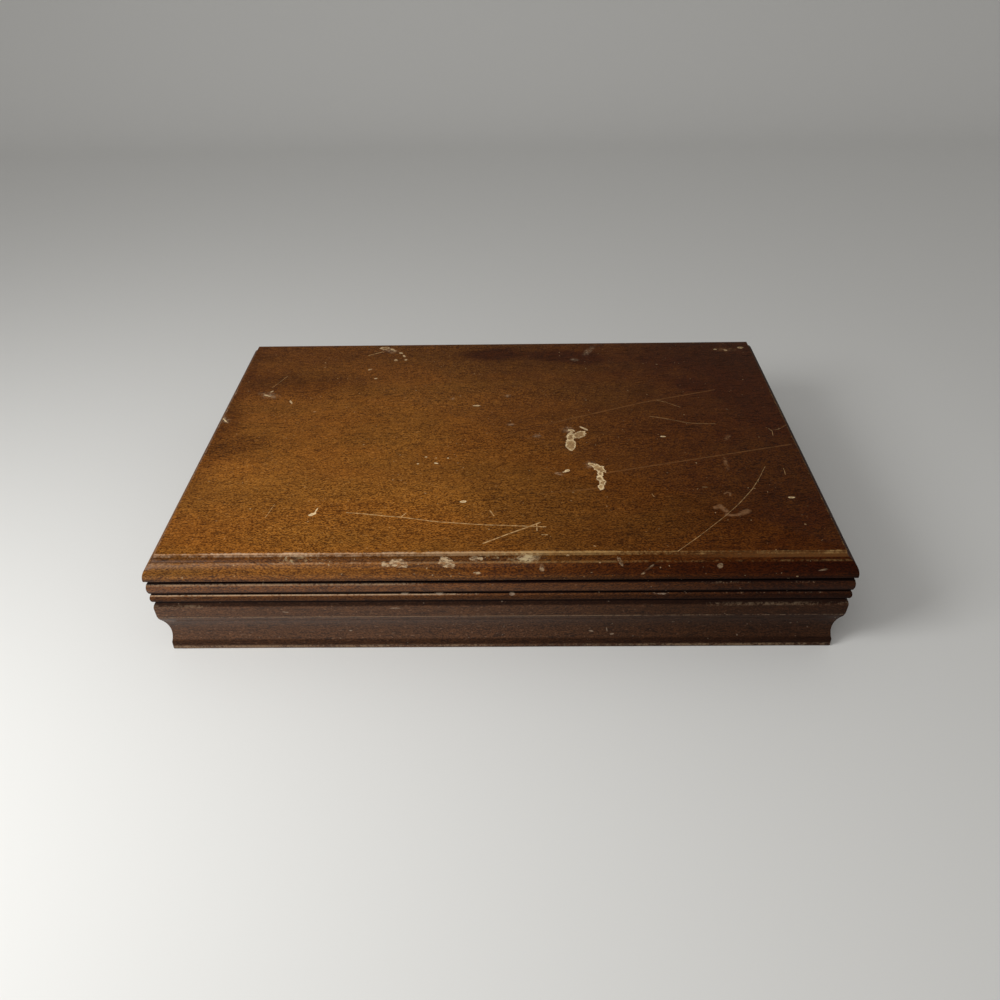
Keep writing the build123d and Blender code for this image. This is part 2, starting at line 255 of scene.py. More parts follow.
def vector_calc(operation, first, second, output="Vector"):
    """One step of vector arithmetic."""
    node = add_node("ShaderNodeVectorMath", {0: first, 1: second}, operation=operation)
    return node.outputs[output]


def axes_of(vector):
    """The X, Y and Z of a vector."""
    return add_node("ShaderNodeSeparateXYZ", {0: vector}).outputs


def vector_of(**parts):
    """A vector from any of its X, Y and Z."""
    return add_node("ShaderNodeCombineXYZ", parts).outputs[0]


def relief(height, distance, strength):
    """A normal that shows a height; the distance says how deep the relief is, in metres."""
    inputs = {"Height": height, "Distance": distance, "Strength": strength}
    return add_node("ShaderNodeBump", inputs).outputs[0]


curve_reach = 0.2


def strength_along(value, points):
    """A strength that changes along the chest: each point is (place, strength)."""
    inputs = {"Value": value, "From Min": -curve_reach, "From Max": curve_reach}
    share = add_node("ShaderNodeMapRange", inputs, clamp=False).outputs[0]
    node = add_node("ShaderNodeFloatCurve", {"Value": share})
    curve = node.mapping.curves[0]
    for _ in points[2:]:
        curve.points.new(0.5, 0.5)
    for knot, (place, strength) in zip(curve.points, points):
        knot.location = ((place + curve_reach) / (2 * curve_reach), strength)
    node.mapping.update()
    return node.outputs[0]


print("pattern helpers ready")

# %% [markdown]
# A pattern that several materials share becomes a node group. Its inputs come as a table of names
# and first values, and the kind of each socket follows from its value: a number, a vector of three
# or a colour of four.

# %% Helpers for node groups and materials


def socket_kind(value):
    """The kind of socket that holds a value."""
    if isinstance(value, float):
        return "NodeSocketFloat"
    return "NodeSocketColor" if len(value) == 4 else "NodeSocketVector"


def new_group(name, inputs, outputs):
    """An empty node group, with the sockets of its start and the node at its end."""
    group = bpy.data.node_groups.new(name, "ShaderNodeTree")
    for socket_name, value in inputs.items():
        kind = socket_kind(value)
        socket = group.interface.new_socket(socket_name, in_out="INPUT", socket_type=kind)
        socket.default_value = value
    for socket_name in outputs:
        kind = "NodeSocketColor" if socket_name == "Color" else "NodeSocketFloat"
        group.interface.new_socket(socket_name, in_out="OUTPUT", socket_type=kind)
    return group, group.nodes.new("NodeGroupInput").outputs, group.nodes.new("NodeGroupOutput")


def use_group(group, inputs):
    """Place a node group and return its outputs."""
    return add_node("ShaderNodeGroup", inputs, node_tree=group).outputs


def new_material(name):
    """A material with its shader and the object's coordinates."""
    material = bpy.data.materials.new(name)
    material.use_nodes = True
    nodes = material.node_tree.nodes
    return material, nodes["Principled BSDF"], nodes.new("ShaderNodeTexCoord").outputs["Object"]


def node_count(material):
    """A line that says how many nodes a material has."""
    return f"{material.name}: {len(material.node_tree.nodes)} nodes"


origin = (0.0, 0.0, 0.0)
print("group helpers ready")

# %% [markdown]
# ## Studio
#
# The chest stands on a pale floor under soft light. One large lamp hangs to the left, so that the
# light falls off towards the right and the mouldings get a lit and a shaded side. A wide weak lamp
# in front and an even sky fill the shadows.

# %% Hang the lamps
sky_colour = (1.0, 0.975, 0.94, 1.0)
sky_strength = 0.36


def add_lamp(name, place, target, size, power, colour):
    """A square soft lamp of that size in metres, turned to face the target."""
    lamp_data = bpy.data.lights.new(name, "AREA")
    lamp_data.shape = "SQUARE"
    lamp_data.size = size
    lamp_data.energy = power
    lamp_data.color = colour
    lamp = bpy.data.objects.new(name, lamp_data)
    bpy.context.scene.collection.objects.link(lamp)
    facing = (Vector(target) - Vector(place)).to_track_quat("-Z", "Y")
    lamp.matrix_world = Matrix.Translation(place) @ facing.to_matrix().to_4x4()
    lamp.visible_camera = False


add_lamp("left_softbox", (-0.52, -0.42, 0.52), (-0.12, -0.1, 0.03), 0.34, 4.4, (1.0, 0.995, 0.975))
add_lamp("front_fill", (-0.25, -0.85, 1.05), (0.0, 0.0, 0.05), 0.7, 2.6, (1.0, 0.985, 0.96))

world = bpy.data.worlds.new("studio")
world.use_nodes = True
sky = world.node_tree.nodes["Background"]
set_inputs(sky, {"Color": sky_colour, "Strength": sky_strength})
bpy.context.scene.world = world
print("lamps:", len(bpy.data.lights))

# %% [markdown]
# A pale sheet lies below and stands behind, as in a photo booth, far enough away to walk round the
# chest. It is one edge, extruded back, spun up through a quarter turn and extruded to the top. The
# sheet is see-through from its back, and under the chest it has a hole, a little smaller than the
# foot. Nobody sees either from above, and from below they let the underside be looked at.

# %% Bend the sheet and cut its hole
floor_reach = 1.6
wall_place = 1.3
wall_height = 1.3
sweep_radius = 0.3
sweep_steps = 12
sweep_start = wall_place - sweep_radius
hole_inset = 6.0 * mm

sheet = bmesh.new()
front_corners = [sheet.verts.new((side * floor_reach, -floor_reach, 0)) for side in (-1, 1)]
back_verts, back_edges = extrude(sheet, [sheet.edges.new(front_corners)])
bmesh.ops.translate(sheet, verts=back_verts, vec=(0, floor_reach + sweep_start, 0))
swept = bmesh.ops.spin(
    sheet,
    geom=back_verts + back_edges,
    cent=(0, sweep_start, sweep_radius),
    axis=(1, 0, 0),
    angle=math.pi / 2,
    steps=sweep_steps,
    use_merge=False,
)["geom_last"]
wall_verts, _ = extrude(sheet, only(bmesh.types.BMEdge, swept))
bmesh.ops.translate(sheet, verts=wall_verts, vec=(0, 0, wall_height))
hole_half = Vector((half_width - hole_inset, half_depth - hole_inset, 0))
for direction in (Vector((1, 0, 0)), Vector((-1, 0, 0)), Vector((0, 1, 0)), Vector((0, -1, 0))):
    edge_place = direction * hole_half
    bmesh.ops.bisect_plane(sheet, geom=everything(sheet), plane_co=edge_place, plane_no=direction)
under_chest = [face for face in sheet.faces if face.calc_center_median().length < hole_inset]
bmesh.ops.delete(sheet, geom=under_chest, context="FACES")
bmesh.ops.recalc_face_normals(sheet, faces=sheet.faces)
nearest_face = min(sheet.faces, key=lambda face: face.calc_center_median().y)
if nearest_face.normal.z < 0:
    bmesh.ops.reverse_faces(sheet, faces=sheet.faces)
for face in sheet.faces:
    face.smooth = True
floor = make_object(sheet, "studio_sheet")
print("sheet:", len(floor.data.polygons), "faces")

# %% Finish the sheet
floor_material, shader, _ = new_material("studio_sheet")
back_side = floor_material.node_tree.nodes.new("ShaderNodeNewGeometry").outputs["Backfacing"]
sheet_look = {
    "Base Color": (0.68, 0.683, 0.675, 1.0),
    "Roughness": 0.85,
    "Specular IOR Level": 0.2,
    "Alpha": calc("SUBTRACT", 1.0, back_side),
}
set_inputs(shader, sheet_look)
floor.data.materials.append(floor_material)
print(node_count(floor_material))

# %% [markdown]
# ## Stained timber
#
# The wood is a close-grained hardwood, stained red-brown and lacquered. Seen close, such wood has
# three scales of figure: broad cloudy bands a few centimetres apart, fine growth lines a few
# millimetres apart, and short dark pores. All of them run along the board, so one noise is
# squeezed along X more than across it. The noise is solid, like the wood itself: it goes through
# the board, and the end of a rail shows the same figure cut across. The group takes the colour of
# the pale and the deep stain, so lid and base can differ, and gives a colour, a roughness and a
# height for the bump.

# %% Build the timber group
timber, start, end = new_group(
    "stained_timber",
    {
        "Vector": origin,
        "Pale Stain": (0.2, 0.08, 0.02, 1),
        "Deep Stain": (0.06, 0.02, 0.006, 1),
        "Pore Colour": (0.02, 0.007, 0.003, 1),
        "Glint Colour": (0.4, 0.2, 0.06, 1),
        "Grain Contrast": 0.5,
    },
    ["Color", "Roughness", "Height"],
)
swirl = centred(cloud(stretched(start["Vector"], (2.0, 6.0, 6.0)), 1.6), 0.06)
bent = vector_calc("ADD", start["Vector"], vector_of(Y=swirl, Z=swirl))


def along_grain(squeeze, scale, detail, roughness=0.5):
    """Noise that is drawn out along the grain."""
    return cloud(stretched(bent, (squeeze, 1, 1)), scale, detail, roughness)


bands = along_grain(0.18, 26.0, 3.0, 0.55)
lines = along_grain(0.09, 260.0, 3.0, 0.6)
flecks = along_grain(0.25, 1150.0, 2.0, 0.7)
grit = along_grain(0.4, 2100.0, 1.0)
fibres = along_grain(0.05, 1300.0, 2.0, 0.6)
pores = between(along_grain(0.13, 950.0, 1.0), 0.58, 0.68)
glints = between(along_grain(0.45, 1100.0, 0.0), 0.70, 0.80, 0.0, 0.4)
mottle = cloud(stretched(start["Vector"], (0.7, 1, 1)), 120.0, 4.0, 0.65)
print("timber noises:", len(timber.nodes), "nodes")

# %% Colour the timber from its noises
swings = ((bands, 0.65), (lines, 0.5), (flecks, 3.0), (grit, 6.0), (fibres, 0.6))
figure = add_up(*(centred(part, swing) for part, swing in swings))
depth_of_stain = gained(figure, start["Grain Contrast"], 0.5, clamp=True)
grain_colour = blend(depth_of_stain, start["Pale Stain"], start["Deep Stain"])
speckle = between(mottle, 0.3, 0.7, 0.90, 1.09)
speckle_parts = {0: speckle, 1: speckle, 2: speckle}
speckle_colour = add_node("ShaderNodeCombineColor", speckle_parts).outputs[0]
grain_colour = tint(1.0, grain_colour, speckle_colour)
grain_colour = blend(product(pores, 0.5), grain_colour, start["Pore Colour"])
grain_colour = blend(glints, grain_colour, start["Glint Colour"])
pore_rough = gained(fibres, 0.12, product(pores, 0.15))
pore_depth = gained(fibres, 0.25, product(pores, -1.0))
set_inputs(end, {"Color": grain_colour, "Roughness": pore_rough, "Height": pore_depth})
print("timber group:", len(timber.nodes), "nodes")

# %% [markdown]
# ## Where on the moulding
#
# Wear follows the shape: the lacquer goes first on the ridges, and dirt and painted shade darken
# the grooves. To say where a ridge is, each point needs its inset, which is how far it lies inwards
# from the widest edge of the lid, and its run, which is how far along its side it lies. Both come
# straight from the place of the point. A band is then a soft stripe about one inset or one height.

# %% Build the moulding place group and the band group
moulding_place, start, end = new_group(
    "moulding_place", {"Vector": origin}, ["Inset", "Run", "Height", "Front"]
)
place = axes_of(start["Vector"])
from_side = calc("SUBTRACT", half_width, calc("ABSOLUTE", place["X"]))
from_front = calc("SUBTRACT", half_depth, calc("ABSOLUTE", place["Y"]))
on_side = calc("LESS_THAN", from_side, from_front)
run = add_node("ShaderNodeMix", {"Factor": on_side, "A": place["X"], "B": place["Y"]})
front_half = calc("LESS_THAN", place["Y"], 0.0)
place_results = {
    "Inset": calc("MINIMUM", from_side, from_front),
    "Run": run.outputs[0],
    "Height": place["Z"],
    "Front": product(front_half, calc("SUBTRACT", 1.0, on_side)),
}
set_inputs(end, place_results)

band, start, end = new_group("band", {"Value": 0.0, "Centre": 0.0, "Half Width": 0.001}, ["Mask"])
distance = calc("ABSOLUTE", calc("SUBTRACT", start["Value"], start["Centre"]))
share_out = calc("DIVIDE", distance, start["Half Width"])
set_inputs(end, {"Mask": calc("SUBTRACT", 1.0, between(share_out, 0.2, 1.0))})
print("groups:", [group.name for group in bpy.data.node_groups])

# %% [markdown]
# ## Scratches and chips
#
# A scratch is a thin straight stroke that breaks up where the point skipped. The group measures
# how far a point of the board lies from the line between two places, and draws a soft stroke. A
# chip is a ragged spot where the lacquer came off: its shape is an ellipse whose edge is pushed
# about by noise. Each axis of the ellipse is given as a direction divided by its own half length,
# so a dot product with it says what share of the way to the edge a point lies. From that comes
# the depth, which is how far inside the edge the point is.

# %% Build the scratch group and the chip group
scratch, start, end = new_group(
    "scratch", {"Vector": origin, "Start": origin, "End": (0.01, 0, 0), "Width": 0.0005}, ["Mask"]
)
reach = vector_calc("SUBTRACT", start["End"], start["Start"])
offset = vector_calc("SUBTRACT", start["Vector"], start["Start"])
along_reach = vector_calc("DOT_PRODUCT", offset, reach, "Value")
reach_squared = vector_calc("DOT_PRODUCT", reach, reach, "Value")
share = calc("DIVIDE", along_reach, reach_squared, clamp=True)
scaled = {0: reach, "Scale": share}
nearest = add_node("ShaderNodeVectorMath", scaled, operation="SCALE").outputs[0]
away = vector_calc("DISTANCE", offset, nearest, "Value")
spread = calc("DIVIDE", away, start["Width"])
set_inputs(end, {"Mask": between(spread, 0.3, 1.0, 1.0, 0.0)})

mark_edge = 0.93
chip, start, end = new_group(
    "chip",
    {
        "Vector": origin,
        "Centre": origin,
        "Long Axis": (200, 0, 0),
        "Short Axis": (0, 300, 0),
        "Half Width": 0.003,
        "Ragged": 0.0,
        "Raggedness": 0.5,
    },
    ["Depth", "Soft"],
)
offset = vector_calc("SUBTRACT", start["Vector"], start["Centre"])
long_share = vector_calc("DOT_PRODUCT", offset, start["Long Axis"], "Value")
short_share = vector_calc("DOT_PRODUCT", offset, start["Short Axis"], "Value")
oval = gained(long_share, long_share, product(short_share, short_share))
outline = gained(start["Ragged"], start["Raggedness"], calc("SQRT", oval))
chip_depth = product(calc("SUBTRACT", mark_edge, outline), start["Half Width"])
set_inputs(end, {"Depth": chip_depth, "Soft": between(outline, 0.1, 1.3, 1.0, 0.0)})
print("groups:", [group.name for group in bpy.data.node_groups])

# %% [markdown]
# ## The lid's finish
#
# The lid has seen the most use. Its stain is warm and light to the left of the middle and deep to
# the right, and painted shade deepens it further to the right, where the lamp's light falls off.
# Its front ridge is rubbed down to pale wood, and the flat has a few known marks: long scratches,
# two large chips, and films of old polish. Each mark is a named place on the board, in millimetres
# from its middle, so one can be moved alone.

# %% Name the strokes on the lid
scratch_paths = [
    # points along the stroke, half width
    (
        [
            (-89.0, -93.6), (-53.0, -99.6), (-33.7, -103.6), (-10.7, -106.2), (14.4, -108.1),
            (26.9, -108.8),
        ],
        0.46,
    ),
    ([(-8.6, -124.2), (5.3, -115.6), (16.6, -109.0), (23.6, -104.7)], 0.60),
    ([(21.8, -106.6), (21.9, -112.5)], 0.50),
    ([(24.6, -116.2), (27.8, -116.2)], 0.50),
    ([(-5.2, -92.8), (-2.8, -97.5)], 0.55),
    ([(-57.1, -98.9), (-54.3, -94.6)], 0.40),
    ([(-133.0, -84.8), (-135.9, -98.0)], 0.20),
    ([(-101.8, 114.5), (-91.7, 121.1)], 0.50),
    ([(-165.4, 62.8), (-157.4, 81.5)], 0.17),
    ([(108.5, 39.1), (114.2, 36.5), (123.4, 29.2)], 0.28),
    ([(100.5, 16.5), (115.0, 12.1), (129.1, 6.5), (143.1, 6.0)], 0.30),
    ([(164.2, -47.6), (157.4, -61.6)], 0.20),
    ([(157.4, -61.6), (151.3, -72.3), (140.1, -87.8)], 0.34),
    ([(140.1, -87.8), (130.7, -99.0), (111.8, -119.0)], 0.22),
    ([(111.8, -119.0), (95.7, -134.7)], 0.32),
    ([(175.1, -49.8), (174.7, -56.6)], 0.28),
    ([(177.1, -0.9), (178.6, -4.7), (177.8, -10.2)], 0.26),
    ([(178.4, -3.2), (183.4, -2.0), (189.4, 3.5)], 0.18),
    ([(122.2, -69.3), (125.0, -69.6)], 0.35),
    ([(90.7, -76.8), (91.8, -79.5)], 0.40),
]
smear_paths = [
    # points along the stroke, half width
    ([(126.3, -91.0), (129.0, -89.5), (130.1, -91.9), (131.7, -94.4)], 2.3),
    ([(131.5, -98.0), (134.2, -98.7), (138.0, -98.1), (142.0, -96.4)], 1.7),
    ([(140.5, -96.8), (144.2, -94.4)], 2.7),
    ([(133.8, -76.8), (135.8, -75.3), (137.4, -76.4), (136.9, -78.8)], 0.9),
]
figure_paths = [
    # points along the stroke, half width
    ([(-35.0, -87.4), (-19.6, -83.6), (12.4, -76.1), (43.6, -72.8), (58.1, -70.2)], 0.9),
    ([(66.0, -53.0), (127.0, -36.9), (187.0, -21.0)], 0.9),
    ([(-3.5, -8.8), (51.8, 16.6), (99.6, 36.7), (151.0, 54.0)], 0.9),
]
print(len(scratch_paths), "scratches,", len(smear_paths), "smears,", len(figure_paths), "dark lines")

# %% Name the chips on the lid
chip_marks = [
    # centre x and y, turn in degrees, half length, half width, raggedness
    ((45.6, -19.3), -91, 7.2, 3.4, 0.40),
    ((46.0, -9.6), -99, 6.2, 2.6, 0.55),
    ((52.0, -6.6), 55, 5.4, 3.5, 0.50),
    ((55.3, 1.4), -44, 3.3, 0.9, 0.50),
    ((47.4, -1.4), -20, 2.2, 1.3, 1.00),
    ((61.6, -47.7), 112, 6.3, 3.3, 0.45),
    ((57.6, -43.4), 146, 3.0, 1.5, 0.60),
    ((62.0, -54.8), -90, 4.4, 2.0, 0.55),
    ((61.4, -59.8), -80, 4.4, 1.9, 0.75),
    ((62.5, -64.4), -100, 4.4, 1.9, 0.75),
    ((61.4, -68.6), -90, 3.4, 1.9, 0.65),
    ((-108.7, -95.1), 35, 2.1, 1.2, 0.8),
    ((-107.0, -90.6), 78, 2.4, 0.4, 0.5),
    ((-21.3, -83.3), 0, 1.9, 1.1, 0.9),
    ((-16.8, 33.8), 0, 2.8, 0.8, 0.9),
    ((41.3, -50.6), 37, 2.5, 1.1, 0.8),
    ((106.2, -10.0), 0, 2.0, 0.8, 0.9),
    ((172.5, -81.3), 0, 2.2, 0.7, 0.8),
    ((-147.5, 41.5), -65, 2.6, 0.7, 0.5),
    ((-97.7, 90.9), 30, 1.6, 0.8, 0.8),
    ((-91.8, 76.1), 0, 1.2, 0.8, 0.6),
    ((-164.2, 57.4), 60, 1.8, 0.9, 0.8),
    ((-165.3, 50.7), -28, 4.8, 0.8, 1.2),
    ((-187.6, 16.0), -51, 3.6, 0.6, 1.1),
    ((-91.0, 126.9), 5, 3.6, 2.0, 1.3),
    ((-84.5, 124.5), -40, 3.2, 1.1, 1.3),
    ((-77.4, 118.5), -45, 2.2, 1.3, 1.1),
    ((-74.6, 113.2), -60, 2.2, 1.1, 1.1),
    ((-72.5, 106.2), 0, 1.1, 1.3, 0.8),
    ((-80.1, 106.4), 0, 1.2, 1.5, 0.6),
    ((171.0, 118.0), -20, 1.6, 0.9, 0.9),
    ((163.5, 119.5), 0, 1.4, 0.8, 0.9),
    ((183.0, 122.0), 0, 2.6, 1.6, 0.8),
    ((-47.0, -33.0), 0, 0.9, 0.6, 0.5),
    ((-51.5, -41.0), 0, 0.7, 0.5, 0.5),
    ((-40.0, -40.5), -20, 1.4, 0.6, 0.8),
    ((-33.0, -34.5), 0, 0.7, 0.5, 0.5),
]
print(len(chip_marks), "chips")

# %% Name the films and the patches of stain on the lid
film_marks = [
    # centre x and y, turn in degrees, half length, half width
    ((-86.0, 123.0), -30, 8, 4.0),
    ((-165.5, 52.0), -20, 8, 4.4),
    ((-189.0, 18.0), -50, 7, 3.2),
    ((67.0, 119.5), 62, 10, 2.8),
    ((55.0, 104.0), 0, 3.2, 3.0),
    ((171.0, 119.0), 0, 9, 4.0),
    ((45.0, -0.6), 0, 5.0, 4.2),
    ((56.4, -44.0), 0, 4.0, 4.0),
    ((147.6, -12.4), 60, 4.8, 1.9),
    ((141.2, -43.0), -90, 8.0, 1.5),
    ((4.5, 47.6), 0, 2.6, 2.0),
    ((7.1, 7.3), 0, 3.2, 1.7),
    ((24.3, -7.7), 0, 3.0, 2.4),
    ((-33.9, 44.2), 0, 2.4, 1.9),
    ((36.6, -53.5), -20, 3.4, 1.5),
]
stain_marks = [
    # centre x and y, turn in degrees, half length, half width
    ((-178.0, -21.0), 18, 30, 16),
    ((-146.0, 66.0), -6, 66, 26),
    ((-176.0, 66.0), -60, 30, 12),
    ((48.0, 108.0), -8, 40, 11),
    ((-6.0, 113.0), 0, 34, 13),
    ((-188.0, 16.0), 90, 84, 14),
    ((176.0, 60.0), -80, 70, 22),
    ((136.0, 62.0), 0, 11, 9),
]
glow_marks = [
    # centre x and y, turn in degrees, half length, half width
    ((-118.0, -108.0), -5, 26, 15),
    ((-158.0, -56.0), -20, 30, 14),
    ((-56.0, -84.0), -8, 62, 26),
]
print(len(film_marks), "films,", len(stain_marks), "dark patches,", len(glow_marks), "pale ones")

# %% [markdown]
# The marks of one kind are gathered in a layer, which is a node group of its own. Strokes and soft
# patches keep the strongest at each point. Chips are joined by their depths, so two chips that
# touch share one outline, and only the part that lies less than a rim's width inside that outline
# is rim. The rim is where the lacquer has lifted but not gone, so it shows pale.

# %% Helpers for layers of marks


def scratch_layer(name, paths, level):
    """A group that holds many strokes on one plane; its mask is the strongest of them."""
    layer, start, end = new_group(name, {"Vector": origin}, ["Mask"])
    masks = [0.0]
    for points, half_wide in paths:
        for first, last in zip(points, points[1:]):
            inputs = {
                "Vector": start["Vector"],
                "Start": (first[0] * mm, first[1] * mm, level),
                "End": (last[0] * mm, last[1] * mm, level),
                "Width": half_wide * mm,
            }
            masks.append(use_group(scratch, inputs)["Mask"])
    set_inputs(end, {"Mask": most(*masks)})
    return layer


rim_width = 0.8 * mm
rim_swing = 1.1 * mm
edge_softness = 0.14 * mm
join_round = 0.7 * mm
layer_inputs = {"Vector": origin, "Ragged": 0.0}


def ragged_noise(where, scale):
    """A noise about zero that pushes the outline of a mark in and out."""
    return centred(cloud(where, scale, 4.0, 0.65), 2.6)


def place_mark(start, mark, level, raggedness):
    """One spot of a layer, from its row in a table of marks."""
    (x, y), turn, half_length, half_wide, *own = mark
    long_way = Vector((math.cos(math.radians(turn)), math.sin(math.radians(turn)), 0))
    short_way = Vector((-long_way.y, long_way.x, 0))
    inputs = {
        "Vector": start["Vector"],
        "Centre": (x * mm, y * mm, level),
        "Long Axis": long_way / (half_length * mm),
        "Short Axis": short_way / (half_wide * mm),
        "Half Width": half_wide * mm,
        "Ragged": start["Ragged"],
        "Raggedness": own[0] if own else raggedness,
    }
    return use_group(chip, inputs)


def patch_layer(name, marks, level, raggedness):
    """A group that holds many soft patches on one plane; its mask is the strongest of them."""
    layer, start, end = new_group(name, layer_inputs, ["Soft"])
    patches = [place_mark(start, mark, level, raggedness)["Soft"] for mark in marks]
    set_inputs(end, {"Soft": most(*patches)})
    return layer


def chip_layer(name, marks, level):
    """A group that holds many chips on one plane. Chips that touch share one outline and rim."""
    layer, start, end = new_group(name, layer_inputs, ["Inside", "Rim"])
    depth = -1.0
    for mark in marks:
        own_depth = place_mark(start, mark, level, 0.5)["Depth"]
        depth = calc("SMOOTH_MAX", depth, own_depth, join_round)
    inside = between(depth, -edge_softness, edge_softness)
    own_width = gained(start["Ragged"], rim_swing, rim_width)
    past_rim = calc("SUBTRACT", depth, own_width)
    near_edge = between(past_rim, -2 * edge_softness, 2 * edge_softness, 1.0, 0.0)
    set_inputs(end, {"Inside": inside, "Rim": product(inside, near_edge)})
    return layer


print("layer helpers ready")

# %% [markdown]
# The lid's material lays these over the timber from the bottom up: stain, worn ridges, scratches
# and chips, then the films of old polish and dust. Bare wood is paler and duller than lacquer, so
# every mask that changes the colour also takes the coat of lacquer away.

# %% Helpers and colours for the lacquered finishes


def grain_vector(where, along, place, lean=0.0):
    """Coordinates whose X runs along the grain, moved so that no two boards share a figure."""
    turn = (0, 0, lean) if along == "X" else (0, 0, math.pi / 2)
    return stretched(where, (1, 1, 1), place, turn)


def ridge(value, centre, half_wide):
    """A stripe about one inset or height."""
    return use_group(band, {"Value": value, "Centre": centre, "Half Width": half_wide})["Mask"]


def window(value, low, high, soft):
    """Full between low and high, with soft borders outside them."""
    rise = between(value, low - soft, low)
    return product(rise, between(value, high, high + soft, 1.0, 0.0))


bare_wood = (0.40, 0.235, 0.125, 1.0)
bare_pale = (0.56, 0.41, 0.26, 1.0)
# Painted highlight: a tint above one that brightens the worn bare wood on the left, where the lamp
# lights it.
bare_highlight_left = (1.2, 1.2, 1.3, 1)
bare_right = (0.90, 0.80, 0.50, 1)
scuff_colour = (0.43, 0.335, 0.185, 1.0)
scratch_pale = (0.60, 0.38, 0.17, 1)
chip_cream = (0.74, 0.56, 0.32, 1.0)
chip_pale = (0.50, 0.32, 0.15, 1.0)
chip_floor = (0.25, 0.145, 0.065, 1.0)
nose_chip = (0.53, 0.39, 0.235, 1)
film_colour = (0.45, 0.345, 0.23, 1.0)
smear_colour = (0.36, 0.195, 0.095, 1.0)
lid_dust = (0.52, 0.35, 0.18, 1)
edge_dust = (0.44, 0.31, 0.17, 1)
rail_dust = (0.30, 0.22, 0.155, 1)
# Dirt and painted shade: the near-black colour of the grooves and of the shaded lower parts of the
# mouldings.
groove_dirt_and_shade = (0.008, 0.0028, 0.002, 1.0)
print("finish helpers ready")

# %% [markdown]
# ## The stain of the lid
#
# Light bleaches a stain and polish deepens it, so a lid is never one colour. A curve across the
# width says how deep the stain is, with painted shade mixed in: the colour is painted darker to
# the right and towards the back on the left, where the lamp's light falls off. Patches of their
# own place darken or lighten it, and broad noise does the rest. The hue swings a little too, from
# red to a cooler brown.

# %% Build the group for the lid's stain
flat_edge_inset = 7.0 * mm
quirk_foot_height = chest_top - 1.6 * mm
cove_foot_height = chest_top - 4.4 * mm
grain_lean = math.radians(-5)
# Deeper stain and painted shade: the curve darkens the colour to the right, where the lamp's light
# falls off.
stain_and_shade_across = [
    (-0.2, 0.24), (-0.14, 0.02), (-0.07, 0.0), (0.0, 0.26), (0.06, 0.56), (0.12, 0.82), (0.2, 1.0),
]
# The colour of the deepest stain and painted shade that the lid is tinted towards.
deepest_stain_and_shade = (0.25, 0.155, 0.07, 1)

lid_stain_and_shade_group, start, end = new_group(
    "lid_stain_and_shade",
    {"Vector": origin, "Grain Contrast": 0.8},
    ["Color", "Roughness", "Height", "Patchy", "Fine Patchy"],
)
where = start["Vector"]
axes = axes_of(where)
contrast_back = between(axes["Y"], -0.08, 0.12, 1.06, 0.80)
contrast_right = between(axes["X"], -0.05, 0.10, 1.08, 0.92)
lid_grain = {
    "Vector": grain_vector(where, "X", (0.11, 0.03, 0.0), grain_lean),
    "Pale Stain": (0.285, 0.108, 0.0160, 1),
    "Deep Stain": (0.080, 0.0240, 0.0026, 1),
    "Pore Colour": (0.020, 0.006, 0.002, 1),
    "Glint Colour": (0.46, 0.22, 0.06, 1),
    "Grain Contrast": product(start["Grain Contrast"], contrast_back, contrast_right),
}
grain = use_group(timber, lid_grain)
soft_inputs = {"Vector": where, "Ragged": ragged_noise(where, 22.0)}
stains = use_group(patch_layer("lid_stains", stain_marks, chest_top, 0.45), soft_inputs)["Soft"]
glows = use_group(patch_layer("lid_glows", glow_marks, chest_top, 0.5), soft_inputs)["Soft"]
patchy = cloud(where, 55.0, 4.0, 0.65)

# Painted shade: darker towards the back on the left, where the lamp's light falls off.
shade_to_back = between(axes["Y"], 0.02, 0.13, 0.0, 0.54)
to_left = between(axes["X"], -0.02, 0.10, 1.0, 0.25)
in_middle = window(axes["Y"], -0.012, 0.022, 0.025)
left_of_middle = between(axes["X"], 0.02, 0.06, 0.10, 0.0)
depth = add_up(
    strength_along(axes["X"], stain_and_shade_across),
    product(shade_to_back, to_left),
    product(in_middle, left_of_middle),
)
depth = gained(stains, 0.42, depth)
depth = gained(glows, -0.2, depth)
depth = gained(calc("SUBTRACT", patchy, 0.5), 0.5, depth, clamp=True)
stained_and_shaded = tint(depth, grain["Color"], deepest_stain_and_shade)
stained_and_shaded = tint(product(glows, 0.35), stained_and_shaded, (1.4, 1.4, 1.3, 1))
hue_field = between(cloud(stretched(where, (0.45, 1, 1)), 24.0), 0.38, 0.62)
hue = blend(hue_field, (1.03, 0.98, 0.925, 1), (0.98, 1.01, 1.03, 1))
stain_results = {
    "Color": tint(1.0, stained_and_shaded, hue),
    "Roughness": grain["Roughness"],
    "Height": grain["Height"],
    "Patchy": patchy,
    "Fine Patchy": cloud(where, 500.0, 3.0, 0.7),
}
set_inputs(end, stain_results)
print("lid stain:", len(lid_stain_and_shade_group.nodes), "nodes")

# %% [markdown]
# Wear on the ridges is not even. It is strongest near the middle of the front, where the lid is
# lifted, and there it spreads over the shallow cove below. A curve says how strong it is from left
# to right, and noise breaks it up.

# %% Build the group for the wear on the lid's ridges
ridge_wear = [
    (-0.2, 0.55), (-0.17, 0.6), (-0.12, 0.8), (-0.08, 0.65), (-0.04, 0.8), (0.01, 1.0),
    (0.05, 0.8), (0.09, 0.5), (0.13, 0.38), (0.2, 0.42),
]
cove_scuffs = [
    (-0.2, 0.2), (-0.165, 0.3), (-0.135, 0.4), (-0.112, 0.85), (-0.09, 0.55), (-0.06, 0.35),
    (-0.03, 0.4), (-0.012, 0.65), (0.005, 0.85), (0.015, 1.0), (0.024, 0.7), (0.04, 0.3),
    (0.1, 0.2), (0.14, 0.12), (0.2, 0.1),
]
scuff_heights = (63.2 * mm, 64.4 * mm)
scuff_insets = (8.6 * mm, 6.9 * mm)

